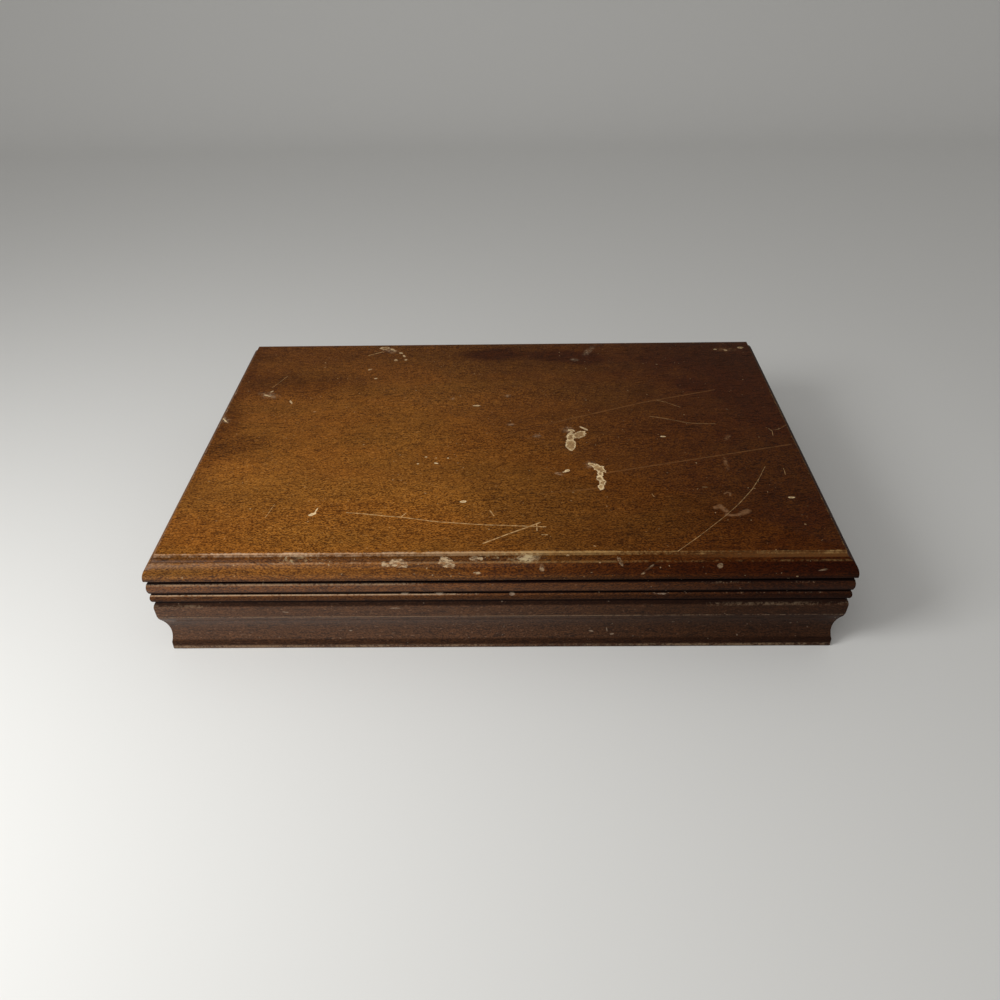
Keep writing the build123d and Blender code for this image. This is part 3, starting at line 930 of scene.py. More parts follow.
lid_wear_group, start, end = new_group(
    "lid_wear",
    {"Vector": origin, "Patchy": 0.5, "Fine Patchy": 0.5},
    ["Worn", "Scuffed", "Flaking"],
)
where = start["Vector"]
spot = use_group(moulding_place, {"Vector": where})
front_wear = strength_along(spot["Run"], ridge_wear)
wear = product(front_wear, gained(spot["Front"], 0.55, 0.45))
broken = gained(start["Patchy"], 0.45, product(start["Fine Patchy"], 0.55))
rubbed = between(gained(wear, 0.28, broken), 0.56, 0.78)
rubbed_even = between(gained(wear, 0.5, broken), 0.62, 1.0, 0.1, 0.9)
edge_reach = between(gained(wear, 0.4, broken), 0.62, 0.98, 0.5 * mm, 2.0 * mm)
top_edge = product(
    ridge(spot["Inset"], flat_edge_inset, edge_reach),
    ridge(spot["Height"], chest_top, 0.8 * mm),
)
quirk_edge = ridge(spot["Height"], quirk_foot_height + 0.4 * mm, 0.9 * mm)
cove_edge = ridge(spot["Height"], cove_foot_height, 0.5 * mm)
lower_edges = most(product(quirk_edge, 0.45), product(cove_edge, 0.28))
scuff_run = strength_along(spot["Run"], cove_scuffs)
cove_band = product(
    between(spot["Height"], *scuff_heights),
    between(spot["Inset"], *scuff_insets),
    spot["Front"],
)
scuff_break = between(gained(scuff_run, 0.26, broken), 0.68, 0.86, 0.0, 0.8)
scuff_fade = between(scuff_run, 0.0, 0.6, 0.25, 1.0)
flake_field = cloud(stretched(where, (0.4, 1, 1)), 760.0, 3.0, 0.7)
flaking = between(flake_field, 0.42, 0.58, 0.15, 1.0)
wear_results = {
    "Worn": most(product(lower_edges, rubbed), product(top_edge, rubbed_even)),
    "Scuffed": product(cove_band, scuff_break, scuff_fade, flaking),
    "Flaking": flaking,
}
set_inputs(end, wear_results)
print("lid wear:", len(lid_wear_group.nodes), "nodes")

# %% [markdown]
# The flat of the lid and its moulded edge get a material each. They share the stain and the wear,
# so nothing changes where they meet. The flat has lost most of its shine to years of polishing
# cloths, while the edge keeps its coat of lacquer.

# %% Helpers that the lacquered materials share
lacquer_relief = 0.12 * mm


def start_lid_material(name, contrast):
    """A lid material up to its stain and the masks of its wear."""
    material, shader, where = new_material(name)
    stain = use_group(lid_stain_and_shade_group, {"Vector": where, "Grain Contrast": contrast})
    wear_inputs = {"Vector": where, "Patchy": stain["Patchy"], "Fine Patchy": stain["Fine Patchy"]}
    wear = use_group(lid_wear_group, wear_inputs)
    return material, shader, where, axes_of(where), stain, wear


def lay_wear(coloured, axes, stain, wear):
    """Scuffed and bare wood over a colour. The bare wood is more yellow on the deep side, and on the
    left it carries a painted highlight.
    """
    bare_tint_and_highlight = blend(between(axes["X"], -0.10, 0.05), bare_highlight_left, bare_right)
    bare_colour = blend(stain["Fine Patchy"], bare_wood, bare_pale)
    coloured = blend(wear["Scuffed"], coloured, scuff_colour)
    worn = product(wear["Worn"], 0.85)
    return blend(worn, coloured, tint(1.0, bare_colour, bare_tint_and_highlight))


def finish_lacquer(shader, coloured, stain, bare, height, gloss):
    """Colour, roughness, lacquer and relief of a lacquered material."""
    roughness = gained(stain["Roughness"], 0.8, 0.42)
    look = {
        "Base Color": coloured,
        "Roughness": gained(bare, 0.3, roughness, clamp=True),
        "Normal": relief(height, lacquer_relief, 0.6),
        "Specular IOR Level": 0.04,
        "Coat Weight": product(gloss, between(bare, 0.0, 0.5, 1.0, 0.25)),
        "Coat Roughness": 0.22,
        "Coat IOR": 1.5,
    }
    set_inputs(shader, look)


print("lacquer helpers ready")

# %% Make the material of the lid's flat
lid_top_finish, shader, where, axes, stain, wear = start_lid_material("lacquered_lid_top", 0.8)
fine = stain["Fine Patchy"]
coloured = lay_wear(stain["Color"], axes, stain, wear)

figure_layer = scratch_layer("lid_figure", figure_paths, chest_top)
figure_line = use_group(figure_layer, {"Vector": where})["Mask"]
dark_line, pale_line = (0.035, 0.012, 0.003, 1), (0.25, 0.11, 0.035, 1)
figure_colour = blend(between(axes["X"], 0.02, 0.05), dark_line, pale_line)
coloured = blend(product(figure_line, fine, 0.75), coloured, figure_colour)

sway = centred(stain["Patchy"], 0.0022)
wander = {"Vector": vector_calc("ADD", where, vector_of(X=sway, Y=sway))}
skips = between(cloud(where, 380.0), 0.36, 0.62, 0.42, 1.0)
strokes = use_group(scratch_layer("lid_scratches", scratch_paths, chest_top), wander)["Mask"]
stroke_strength = between(axes["X"], 0.06, 0.12, 0.85, 0.60)
scratched = product(strokes, skips, stroke_strength)
coloured = blend(scratched, coloured, scratch_pale)

ragged_inputs = {"Vector": where, "Ragged": ragged_noise(where, 330.0)}
films = use_group(patch_layer("lid_films", film_marks, chest_top, 0.75), ragged_inputs)["Soft"]
smears = use_group(scratch_layer("lid_smears", smear_paths, chest_top), wander)["Mask"]
smeared = product(smears, between(fine, 0.34, 0.60, 0.35, 0.75))
filmed = most(product(films, between(fine, 0.40, 0.66, 0.1, 0.85)), smeared)
film_tone = blend(between(axes["X"], 0.05, 0.12), film_colour, smear_colour)
coloured = blend(product(filmed, 0.55), coloured, film_tone)
print(node_count(lid_top_finish))

# %% Add the chips and the dust to the lid's flat
chips = use_group(chip_layer("lid_chips", chip_marks, chest_top), ragged_inputs)
chip_wood = blend(between(fine, 0.35, 0.65), chip_floor, chip_pale)
faded = between(axes["Y"], -0.02, 0.07, 1.0, 0.55)
coloured = blend(product(chips["Inside"], faded, 0.85), coloured, chip_wood)
rim_strength = between(fine, 0.3, 0.55, 0.45, 0.95)
coloured = blend(product(chips["Rim"], rim_strength, faded), coloured, chip_cream)
dusty = between(stain["Patchy"], 0.42, 0.62, 0.0, 0.7)
dust = product(between(cloud(where, 680.0, 0.0), 0.83, 0.87), dusty)
coloured = blend(dust, coloured, lid_dust)
bare = most(wear["Worn"], chips["Inside"], filmed, scratched)
height = gained(stain["Height"], 0.3, product(scratched, -1.0))
height = gained(chips["Inside"], -1.6, height)
finish_lacquer(shader, coloured, stain, bare, height, 0.025)
print(node_count(lid_top_finish))

# %% [markdown]
# The moulded edge has light and shade painted into its colour: a painted highlight on the nose on
# the left, painted shade in the cove above it, the darkest painted shade under the nose, and
# painted shade with deeper stain towards the right. Knocks have taken the lacquer off the nose in
# a few places. Those marks lie on the front face, so their table gives X and Z.

# %% Name the marks on the lid's nose
front_face_place = -0.12
nose_low, nose_high = 58.5 * mm, 63.4 * mm
cove_low = cove_foot_height + 0.4 * mm
cove_middle = cove_foot_height + 1.5 * mm
nose_marks = [
    # centre x and z, turn in degrees, half length, half width, raggedness
    ((-55.0, 63.9), -8, 5.4, 1.6, 0.7),
    ((-62.0, 63.4), -5, 2.4, 0.8, 0.9),
    ((-28.3, 63.9), -10, 4.6, 2.3, 0.7),
    ((23.8, 61.7), -90, 1.9, 1.4, 0.3),
    ((66.8, 63.9), -45, 2.4, 1.0, 0.7),
    ((82.7, 61.6), 30, 2.9, 0.5, 0.4),
    ((79.1, 58.6), 20, 1.3, 0.6, 0.5),
    ((121.0, 62.0), 20, 1.8, 1.3, 0.4),
    ((177.1, 60.0), 8, 2.6, 0.5, 0.4),
    ((-12.0, 59.4), 0, 2.6, 0.7, 0.9),
    ((-12.0, 65.6), 0, 4.0, 0.9, 1.3),
    ((15.0, 65.6), 0, 6.0, 1.3, 1.2),
]
print(len(nose_marks), "marks on the nose")

# %% Make the material of the lid's moulded edge
lid_edge_finish, shader, where, axes, stain, wear = start_lid_material("lacquered_lid_edge", 0.5)
front_half = calc("LESS_THAN", axes["Y"], front_face_place)
front_face = vector_of(X=axes["X"], Y=axes["Z"])
nose_inputs = {"Vector": front_face, "Ragged": ragged_noise(where, 260.0)}
nosed = use_group(chip_layer("nose_chips", nose_marks, 0.0), nose_inputs)["Inside"]
nose_strength = between(axes["X"], -0.03, 0.05, 0.76, 0.32)
nosed = product(nosed, front_half, wear["Flaking"], nose_strength)

# Deeper stain and painted shade: the edge darkens to the right, where the lamp's light falls off.
deep_stain_and_shade_side = between(axes["X"], -0.06, 0.12, 0.0, 0.64)
coloured = tint(deep_stain_and_shade_side, stain["Color"], (0.46, 0.30, 0.08, 1))
# Painted highlight and painted shade on the nose: lighter on the left, darker to the right.
on_nose = window(axes["Z"], nose_low, nose_high, 1.2 * mm)
nose_lit_tone, nose_shaded_tone = (0.80, 0.82, 0.78, 1), (0.62, 0.47, 0.25, 1)
nose_light_and_shade = blend(between(axes["X"], -0.12, 0.06), nose_lit_tone, nose_shaded_tone)
coloured = tint(on_nose, coloured, nose_light_and_shade)
in_cove = window(axes["Z"], cove_low, quirk_foot_height + 0.8 * mm, 0.5 * mm)
shaded_cove = product(in_cove, between(axes["X"], -0.02, 0.09, 0.9, 0.0))
coloured = tint(shaded_cove, coloured, (0.40, 0.37, 0.36, 1))
upper_cove = window(axes["Z"], cove_middle, quirk_foot_height + 0.6 * mm, 0.7 * mm)
lit_cove = product(upper_cove, between(axes["X"], 0.07, 0.17, 0.0, 0.40))
coloured = blend(lit_cove, coloured, (0.20, 0.090, 0.028, 1))
# Painted shade under the nose.
shade_under_nose = window(axes["Z"], board_foot - 1.0 * mm, board_foot + 1.0 * mm, 2.4 * mm)
coloured = tint(product(shade_under_nose, 0.9), coloured, (0.40, 0.38, 0.50, 1))
coloured = blend(nosed, coloured, nose_chip)
coloured = lay_wear(coloured, axes, stain, wear)
specks = product(between(cloud(where, 650.0, 0.0), 0.82, 0.86), 0.5)
coloured = blend(specks, coloured, edge_dust)
bare = most(wear["Worn"], wear["Scuffed"], nosed)
height = gained(stain["Height"], 0.3, product(nosed, -1.6))
gloss_down = between(axes["Z"], 60.0 * mm, 64.5 * mm, 0.40, 0.08)
gloss_along = between(axes["X"], -0.08, 0.12, 1.0, 0.15)
gloss = product(gloss_down, gloss_along)
finish_lacquer(shader, coloured, stain, bare, height, gloss)
print(node_count(lid_edge_finish))

# %% [markdown]
# ## The rails' finish
#
# The lid's reeded rails and the base's moulding are the same wood with a deeper stain, and painted
# shade darkens them further to the right. They are worn on the crests of the reeds and along the
# foot, with a painted highlight in two of the worn stripes, and dirt and painted shade darken the
# grooves and the lower parts of the reeds. One function makes the material for any rail, because
# only the grain's direction, the stain and the heights of the ridges differ.

# %% Write the rails' material as one function
outer_band = (8.0 * mm, 9.0 * mm)
groove_border = 0.3 * mm


def worn_stripes(spot, broken, ridges):
    """The strongest of the ridges' stripes, each broken up where it is less worn."""
    stripes = []
    for height, half_wide, strength, points in ridges:
        amount = strength_along(spot["Run"], points)
        rubbed = between(gained(amount, 0.3, broken), 0.62, 0.80)
        stripes.append(product(ridge(spot["Height"], height, half_wide), rubbed, strength))
    return most(*stripes)


def groove_dirt_and_shade_fill(spot, grooves):
    """The strongest of the grooves' dirt and painted shade, which lies only at some heights and insets.
    """
    fills = []
    for low, high, soft, least_inset, most_inset, strength in grooves:
        recessed = window(spot["Inset"], least_inset, most_inset, groove_border)
        fills.append(product(window(spot["Height"], low, high, soft), recessed, strength))
    return most(*fills)


def rail_finish(name, along, place, pale, deep, stain_and_shade_deepening, worn_ridges, dirty_and_shaded_grooves, spots):
    """A rail with its stain and painted shade, worn on its ridges, with dirt and painted shade in its
    grooves and a layer of spots.
    """
    material, shader, where = new_material(name)
    rail_grain = {
        "Vector": grain_vector(where, along, place),
        "Pale Stain": pale,
        "Deep Stain": deep,
        "Pore Colour": (0.012, 0.005, 0.003, 1),
        "Glint Colour": (0.22, 0.12, 0.07, 1),
        "Grain Contrast": 0.6,
    }
    grain = use_group(timber, rail_grain)
    spot = use_group(moulding_place, {"Vector": where})
    axes = axes_of(where)
    # Deeper stain and painted shade: the rail darkens to the right, where the lamp's light falls off.
    deep_stain_and_shade_side = between(axes["X"], -0.06, 0.17, 0.0, stain_and_shade_deepening)
    stained_and_shaded = tint(deep_stain_and_shade_side, grain["Color"], (0.26, 0.19, 0.15, 1))
    patchy = cloud(stretched(where, (0.4, 0.4, 1), place), 90.0, 3.0, 0.6)
    fine_patchy = cloud(where, 620.0, 3.0, 0.7)
    broken = gained(fine_patchy, 0.6, product(patchy, 0.4))
    outside = between(spot["Inset"], *outer_band, 1.0, 0.0)
    worn = product(worn_stripes(spot, broken, worn_ridges), outside)
    dirty_and_shaded = product(groove_dirt_and_shade_fill(spot, dirty_and_shaded_grooves), outside)
    front_face = vector_of(X=axes["X"], Y=axes["Z"])
    spot_inputs = {"Vector": front_face, "Ragged": ragged_noise(where, 300.0)}
    spotted = use_group(spots, spot_inputs)["Inside"]
    spot_strength = between(fine_patchy, 0.3, 0.6, 0.3, 0.8)
    spotted = product(spotted, spot["Front"], outside, spot_strength)
    specks = product(between(cloud(where, 600.0, 0.0), 0.82, 0.87, 0.0, 0.35), outside)
    # Dirt and painted shade in the grooves and on the lower parts of the reeds.
    coloured = blend(dirty_and_shaded, stained_and_shaded, groove_dirt_and_shade)
    coloured = blend(worn, coloured, blend(fine_patchy, bare_wood, film_colour))
    coloured = blend(most(specks, spotted), coloured, rail_dust)
    bare = most(worn, dirty_and_shaded, spotted)
    height = gained(patchy, 0.2, product(grain["Height"], 0.3))
    gloss = between(axes["X"], -0.1, 0.14, 0.55, 0.12)
    finish_lacquer(shader, coloured, grain, bare, height, gloss)
    print(node_count(material))
    return material


# %% [markdown]
# The ridges, grooves and spots of both mouldings are tables, as a restorer would note them. A
# ridge has a height, a half width, a strength, and a curve of how worn it is from left to right;
# two of them also carry a painted highlight. A groove is a stretch of heights and of insets that
# dirt and painted shade darken.

# %% List the ridges and grooves of the lid rails
upper_groove_height = 2.1 * mm
middle_groove_height = 1.1 * mm
lower_reed_height = 5.2 * mm
lower_reed_head = lid_foot + lower_reed_height
upper_reed_foot = lower_reed_head + middle_groove_height
upper_reed_head = board_foot - upper_groove_height

upper_reed_wear = [
    (-0.2, 0.5), (-0.12, 0.9), (-0.06, 0.7), (-0.02, 0.25), (0.08, 0.1), (0.12, 0.35), (0.2, 0.2),
]
lower_reed_wear_and_highlight = [
    (-0.2, 0.5), (-0.155, 1.0), (-0.07, 1.0), (-0.02, 0.5), (0.05, 0.1), (0.1, 0.4), (0.2, 0.2),
]
lid_ridges = [
    # height, half width, strength, wear along the run
    (upper_reed_head - 0.9 * mm, 0.9 * mm, 0.45, upper_reed_wear),
    # The lower reed's worn stripe is also a painted highlight along its crest.
    (lower_reed_head - 0.5 * mm, 0.5 * mm, 0.8, lower_reed_wear_and_highlight),
]
lid_grooves = [
    # low and high, soft border, least and most inset, strength
    # The grooves under the nose and between the reeds: dirt and painted shade.
    (upper_reed_head - 0.4 * mm, board_foot + 1.0 * mm, 0.4 * mm, 0.8 * mm, 4.0 * mm, 0.99),
    (lower_reed_head - 0.05 * mm, upper_reed_foot + 0.7 * mm, 0.3 * mm, 1.0 * mm, 4.0 * mm, 0.99),
    # Painted shade on the lower parts of the upper and the lower reed.
    (upper_reed_foot, upper_reed_foot + 0.6 * mm, 1.3 * mm, 0.0, 4.0 * mm, 0.62),
    (lid_foot, lower_reed_head - 1.5 * mm, 0.6 * mm, 0.0, 2.2 * mm, 0.45),
    # The parting gap under the lid: dirt and painted shade.
    (lid_foot - 1.0 * mm, lid_foot + 0.3 * mm, 1.3 * mm, 0.0, 1.6 * mm, 0.92),
]
lid_rail_spots = [
    # centre x and z, turn in degrees, half length, half width, raggedness
    ((-52.4, 44.2), 0, 2.4, 0.6, 0.6),
    ((-32.8, 44.0), 0, 3.0, 0.8, 0.9),
    ((7.3, 43.6), 0, 1.6, 0.8, 0.4),
    ((90.0, 43.4), 0, 3.0, 0.4, 0.9),
]
print("reeds end at", [round(1000 * head, 1) for head in (lower_reed_head, upper_reed_head)], "mm")

# %% List the ridges and grooves of the base rails
crease_height = 27.0 * mm
rim_wear = [
    (-0.2, 0.8), (-0.172, 0.7), (-0.155, 0.1), (0.05, 0.0), (0.11, 0.4), (0.15, 0.7), (0.2, 0.4),
]
crease_wear_and_highlight = [(-0.2, 0.75), (-0.1, 0.9), (0.0, 1.0), (0.06, 0.9), (0.11, 0.6), (0.2, 0.6)]
foot_wear = [(-0.2, 0.9), (-0.12, 0.75), (0.0, 0.5), (0.09, 0.6), (0.12, 0.8), (0.2, 0.3)]
base_ridges = [
    (35.4 * mm, 1.6 * mm, 0.22, rim_wear),
    # A thin pale line at the crease, partly wear and partly a painted highlight.
    (crease_height, 0.45 * mm, 0.40, crease_wear_and_highlight),
    (1.6 * mm, 1.6 * mm, 0.36, foot_wear),
]
base_grooves = [
    # The rim and the top of the ovolo under the lid's overhang: dirt and painted shadow.
    (base_rim - 0.9 * mm, base_rim + 1.0 * mm, 1.0 * mm, 0.0, 3.4 * mm, 0.98),
    (base_rim - 2.7 * mm, base_rim, 1.3 * mm, 0.0, 3.4 * mm, 0.78),
    # A darker band above the foot.
    (3.8 * mm, 6.0 * mm, 2.0 * mm, 0.0, 8.0 * mm, 0.55),
]
base_rail_spots = [
    ((-58.9, 33.7), 0, 3.4, 0.45, 0.4),
    ((52.9, 11.6), -15, 1.3, 0.6, 0.4),
    ((62.0, 12.6), -80, 1.6, 0.3, 0.5),
    ((65.1, 9.4), 10, 1.2, 0.6, 0.4),
    ((-86.7, 12.8), 0, 1.0, 0.5, 0.4),
    ((-121.0, 31.0), -10, 2.0, 0.4, 0.8),
]
print(len(base_ridges), "ridges and", len(base_grooves), "grooves on the base")

# %% Make the rails' materials
# The last number of each is how far deeper stain and painted shade darken the rail to the right.
lid_rail_stain_and_shade = ((0.160, 0.056, 0.0125, 1), (0.048, 0.015, 0.004, 1), 1.0)
base_rail_stain_and_shade = ((0.104, 0.041, 0.0150, 1), (0.040, 0.0155, 0.0056, 1), 0.78)
rail_materials = {}
for part, shift, stain, ridges, grooves, spots in (
    ("lid", (0.3, 0.17, 0.05), lid_rail_stain_and_shade, lid_ridges, lid_grooves, lid_rail_spots),
    ("base", (0.71, 0.4, 0.2), base_rail_stain_and_shade, base_ridges, base_grooves, base_rail_spots),
):
    spot_layer = chip_layer(f"{part}_rail_chips", spots, 0.0)
    for along in ("X", "Y"):
        name = f"{part}_rail_grain_{along.lower()}"
        tables = (ridges, grooves, spot_layer)
        rail_materials[part, along] = rail_finish(name, along, shift, *stain, *tables)

# %% [markdown]
# ## Drawing a section
#
# A moulding is a section drawn once and run along a side. The section is drawn the way a
# draughtsman would, from a first point with straight lines and arcs that start in a known
# direction. A line is one vertex extruded and moved, and an arc is a vertex spun about its
# centre, so both come from operators. The section lies in the XZ plane, with X as the inset.

# %% Helpers that draw a section


def line_to(bm, vertex, inset, height):
    """Draw a straight line to a point and return its end vertex."""
    new = bmesh.ops.extrude_vert_indiv(bm, verts=[vertex])["verts"][0]
    bmesh.ops.translate(bm, verts=[new], vec=Vector((inset, 0, height)) - new.co)
    return new


def lines_to(bm, vertex, *points):
    """Draw straight lines through several points and return the last vertex."""
    for point in points:
        vertex = line_to(bm, vertex, *point)
    return vertex


def arc_to(bm, vertex, direction, inset, height, steps):
    """Draw an arc that leaves in a direction and ends at a point; return its end and direction."""
    first, last = vertex.co.copy(), Vector((inset, 0, height))
    direction = Vector(direction).normalized()
    chord = last - first
    across = direction.x * chord.z - direction.z * chord.x
    half_turn = math.atan2(across, direction.x * chord.x + direction.z * chord.z)
    radius = chord.length / (2 * math.sin(half_turn))
    spun = bmesh.ops.spin(
        bm,
        geom=[vertex],
        cent=first + Vector((-direction.z, 0, direction.x)) * radius,
        axis=(0, -1, 0),
        angle=2 * half_turn,
        steps=steps,
        use_merge=False,
    )["geom_last"]
    leaving = Matrix.Rotation(2 * half_turn, 3, (0, -1, 0)) @ direction
    return only(bmesh.types.BMVert, spun)[0], leaving


print("section helpers ready")

# %% [markdown]
# ## From section to rail
#
# The section is extruded along the side in many short steps, because a rail that has been handled
# for years is not perfectly straight, and each step can be nudged a little. Both ends are then
# cut at 45 degrees with a bisecting plane, as on a mitre saw, and closed. The ridges get a small
# round from the bevel operator. Nothing made by hand has an edge of no width.

# %% Helpers that soften and finish a piece
handled_width = 9.0 * mm
handled_border = 2.0 * mm
true_end = 12.0 * mm
true_border = 20.0 * mm
press_depth = 0.14 * mm
press_period = 19 * mm


def sharp_edges(bm, least_angle):
    """Edges where two faces meet at more than an angle."""
    return [e for e in bm.edges if len(e.link_faces) == 2 and e.calc_face_angle(0) > least_angle]


def round_edges(bm, edges, width, segments):
    """Round some edges with the bevel operator."""
    bmesh.ops.bevel(
        bm,
        geom=edges,
        offset=width,
        offset_type="OFFSET",
        affect="EDGES",
        segments=segments,
        profile=0.5,
        material=-1,
        clamp_overlap=True,
    )


def soften(bm, width, least_angle=math.radians(28)):
    """Round every sharp edge."""
    round_edges(bm, sharp_edges(bm, least_angle), width, 3)


def held(value):
    """A share, held between 0 and 1."""
    return max(0.0, min(1.0, value))


def handle(bm, seed, length):
    """Press the outer face in a little here and there, as years of handling and scraping do.

    The section still lies along Y with X as the inset. The ends stay true, so mitres close."""
    shift = Vector((seed * 3.1, seed * 7.7, seed * 1.3))
    for vertex in bm.verts:
        outer = held((handled_width - vertex.co.x) / handled_border)
        away_from_end = held((length - abs(vertex.co.y) - true_end) / true_border)
        press = 0.5 + 0.5 * noise.noise(vertex.co / press_period + shift)
        vertex.co.x += press_depth * press * outer * away_from_end


def finish_piece(bm, name, material, body, replaced, smooth_angle=math.radians(32)):
    """Make the object, give it its finish, and let it stand for its CAD node."""
    bmesh.ops.recalc_face_normals(bm, faces=bm.faces)
    for face in bm.faces:
        face.smooth = True
    piece = make_object(bm, name)
    piece.data.set_sharp_from_angle(angle=smooth_angle)
    piece.data.materials.append(material)
    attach(piece, body)
    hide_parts(replaced)
    print(f"{name}: {len(piece.data.vertices)} vertices, {len(piece.data.polygons)} faces")
    return piece


print("piece helpers ready")

# %% Helpers that turn a section into a finished rail
side_turn = {"front": math.pi / 2, "back": -math.pi / 2, "left": 0.0, "right": math.pi}
station_length = 4.0 * mm
arris = 0.22 * mm


def run_and_mitre(bm, side, seed):
    """Run the drawn section along a side, mitre both ends and move it to its place."""
    length, face_distance = half_width, half_depth
    if side in ("left", "right"):
        length, face_distance = half_depth, half_width
    steps = round(2 * length / station_length)
    bmesh.ops.translate(bm, verts=bm.verts, vec=(0, -length, 0))
    bmesh.ops.spin(
        bm,
        geom=everything(bm),
        cent=(0, 0, 0),
        axis=(0, 0, 1),
        dvec=(0, 2 * length / steps, 0),
        angle=0,
        steps=steps,
        use_merge=False,
    )
    bmesh.ops.recalc_face_normals(bm, faces=bm.faces)
    soften(bm, arris)
    handle(bm, seed, length)
    for end in (1, -1):
        bmesh.ops.bisect_plane(
            bm,
            geom=everything(bm),
            plane_co=(0, end * length, 0),
            plane_no=(1, end, 0),
            clear_outer=True,
        )
        bmesh.ops.holes_fill(bm, edges=[e for e in bm.edges if e.is_boundary])
    bmesh.ops.recalc_face_normals(bm, faces=bm.faces)
    place = Matrix.Rotation(side_turn[side], 4, "Z") @ Matrix.Translation((-face_distance, 0, 0))
    bmesh.ops.transform(bm, matrix=place, verts=bm.verts)


def finish_rail(bm, part, side, kind, seed):
    """Run a section along its side and give the rail the grain that runs along it."""
    run_and_mitre(bm, side, seed)
    material = rail_materials[part, "X" if side in ("front", "back") else "Y"]
    finish_piece(bm, f"{side}_{kind}", material, part, f"{part}_{side}_rail")


print("rail helpers ready")

# %% [markdown]
# ## The reeded lid rails
#
# Under the lid board runs a frame with two reeds, which are round beads side by side, and narrow
# grooves between them. They are flattened arcs rather than half circles, because a shaper cutter
# leaves only the crest round.

# %% Make the four lid rails
upper_reed_inset = 0.4 * mm
lower_reed_inset = 0.75 * mm
reed_shoulder = 0.75 * mm
reed_groove_depth = 1.5 * mm
upper_shoulder = upper_reed_inset + reed_shoulder
lower_shoulder = lower_reed_inset + reed_shoulder
groove = upper_shoulder + reed_groove_depth


def draw_reed(bm, vertex, shoulder, foot, head):
    """One reed, drawn upwards from its foot to its head, as two arcs that meet at the crest."""
    middle = (foot + head) / 2
    start_angle = 2 * math.atan2(middle - foot, reed_shoulder) - math.pi / 2
    direction = (-math.cos(start_angle), 0, math.sin(start_angle))
    vertex, direction = arc_to(bm, vertex, direction, shoulder - reed_shoulder, middle, 5)
    vertex, direction = arc_to(bm, vertex, direction, shoulder, head, 5)
    return vertex


for seed, side in enumerate(side_turn):
    bm = bmesh.new()
    first = bm.verts.new((lower_shoulder, 0, lid_foot))
    pen = draw_reed(bm, first, lower_shoulder, lid_foot, lower_reed_head)
    to_upper = ((groove, lower_reed_head), (groove, upper_reed_foot), (upper_shoulder, upper_reed_foot))
    pen = lines_to(bm, pen, *to_upper)
    pen = draw_reed(bm, pen, upper_shoulder, upper_reed_foot, upper_reed_head)
    pen = lines_to(bm, pen, (groove, upper_reed_head), (groove, board_foot))
    pen = lines_to(bm, pen, (inner_inset, board_foot), (inner_inset, lid_foot))
    bm.edges.new((pen, first))
    finish_rail(bm, "lid", side, "reeded_rail", seed)

# %% [markdown]
# ## The base mouldings
#
# The base has the large moulding: an ovolo under the rim, which turns into a long hollow cove and
# ends in a plain foot. A rabbet inside holds the bottom panel.

# %% Make the four base rails
rim_inset = 3.3 * mm
ovolo_inset = 1.2 * mm
ovolo_rise = 4.4 * mm
ovolo_face_drop = 5.8 * mm
ovolo_face_run = 0.3 * mm
ovolo_turn_run = 1.2 * mm
ovolo_turn_drop = 4.1 * mm
foot_inset = 4.6 * mm
foot_height = 5.6 * mm
foot_round = 0.8 * mm
first_base_seed = 4

face_top = Vector((ovolo_inset, 0, base_rim - ovolo_rise))
face_foot = face_top + Vector((ovolo_face_run, 0, -ovolo_face_drop))
cove_top = face_foot + Vector((ovolo_turn_run, 0, -ovolo_turn_drop))
face_lean = math.atan2(ovolo_face_run, ovolo_face_drop)
rim_turn = 2 * math.atan2(rim_inset - face_top.x, ovolo_rise) - face_lean
down_turned = Matrix.Rotation(rim_turn, 3, (0, -1, 0)) @ Vector((0, 0, -1))
rim_direction = (-abs(down_turned.x), 0, down_turned.z)

for seed, side in enumerate(side_turn, first_base_seed):
    bm = bmesh.new()
    first = bm.verts.new(face_top)
    pen = line_to(bm, first, face_foot.x, face_foot.z)
    pen, direction = arc_to(bm, pen, face_foot - face_top, cove_top.x, cove_top.z, 6)
    pen, direction = arc_to(bm, pen, direction, foot_inset, foot_height, 14)
    pen = line_to(bm, pen, foot_inset, foot_round)
    pen, direction = arc_to(bm, pen, (0, 0, -1), foot_inset + foot_round, 0, 3)
    pen = lines_to(bm, pen, (rabbet_inset, 0), (rabbet_inset, panel_top), (inner_inset, panel_top))
    pen = lines_to(bm, pen, (inner_inset, base_rim), (rim_inset, base_rim))
    pen, direction = arc_to(bm, pen, rim_direction, face_top.x, face_top.z, 7)
    bmesh.ops.pointmerge(bm, verts=[pen, first], merge_co=first.co)
    finish_rail(bm, "base", side, "base_moulding", seed)

# %% [markdown]
# ## The lid board
#
# The board is one piece, moulded on all four edges. It starts as the flat rectangle on top, whose
# rim is divided into short stations. That rim is then extruded outwards and down again and again,
# following the drawn section: a small step called a quirk, a shallow cove, and a round nose. Each
# ring is the one before, scaled about the middle, so the corners stay mitred by themselves.

# %% Draw the section of the lid board
quirk_drop = 1.6 * mm
quirk_run = 0.4 * mm
cove_run = 2.7 * mm
cove_drop = 2.8 * mm
nose_land = 1.0 * mm
nose_lower_round = 0.5 * mm

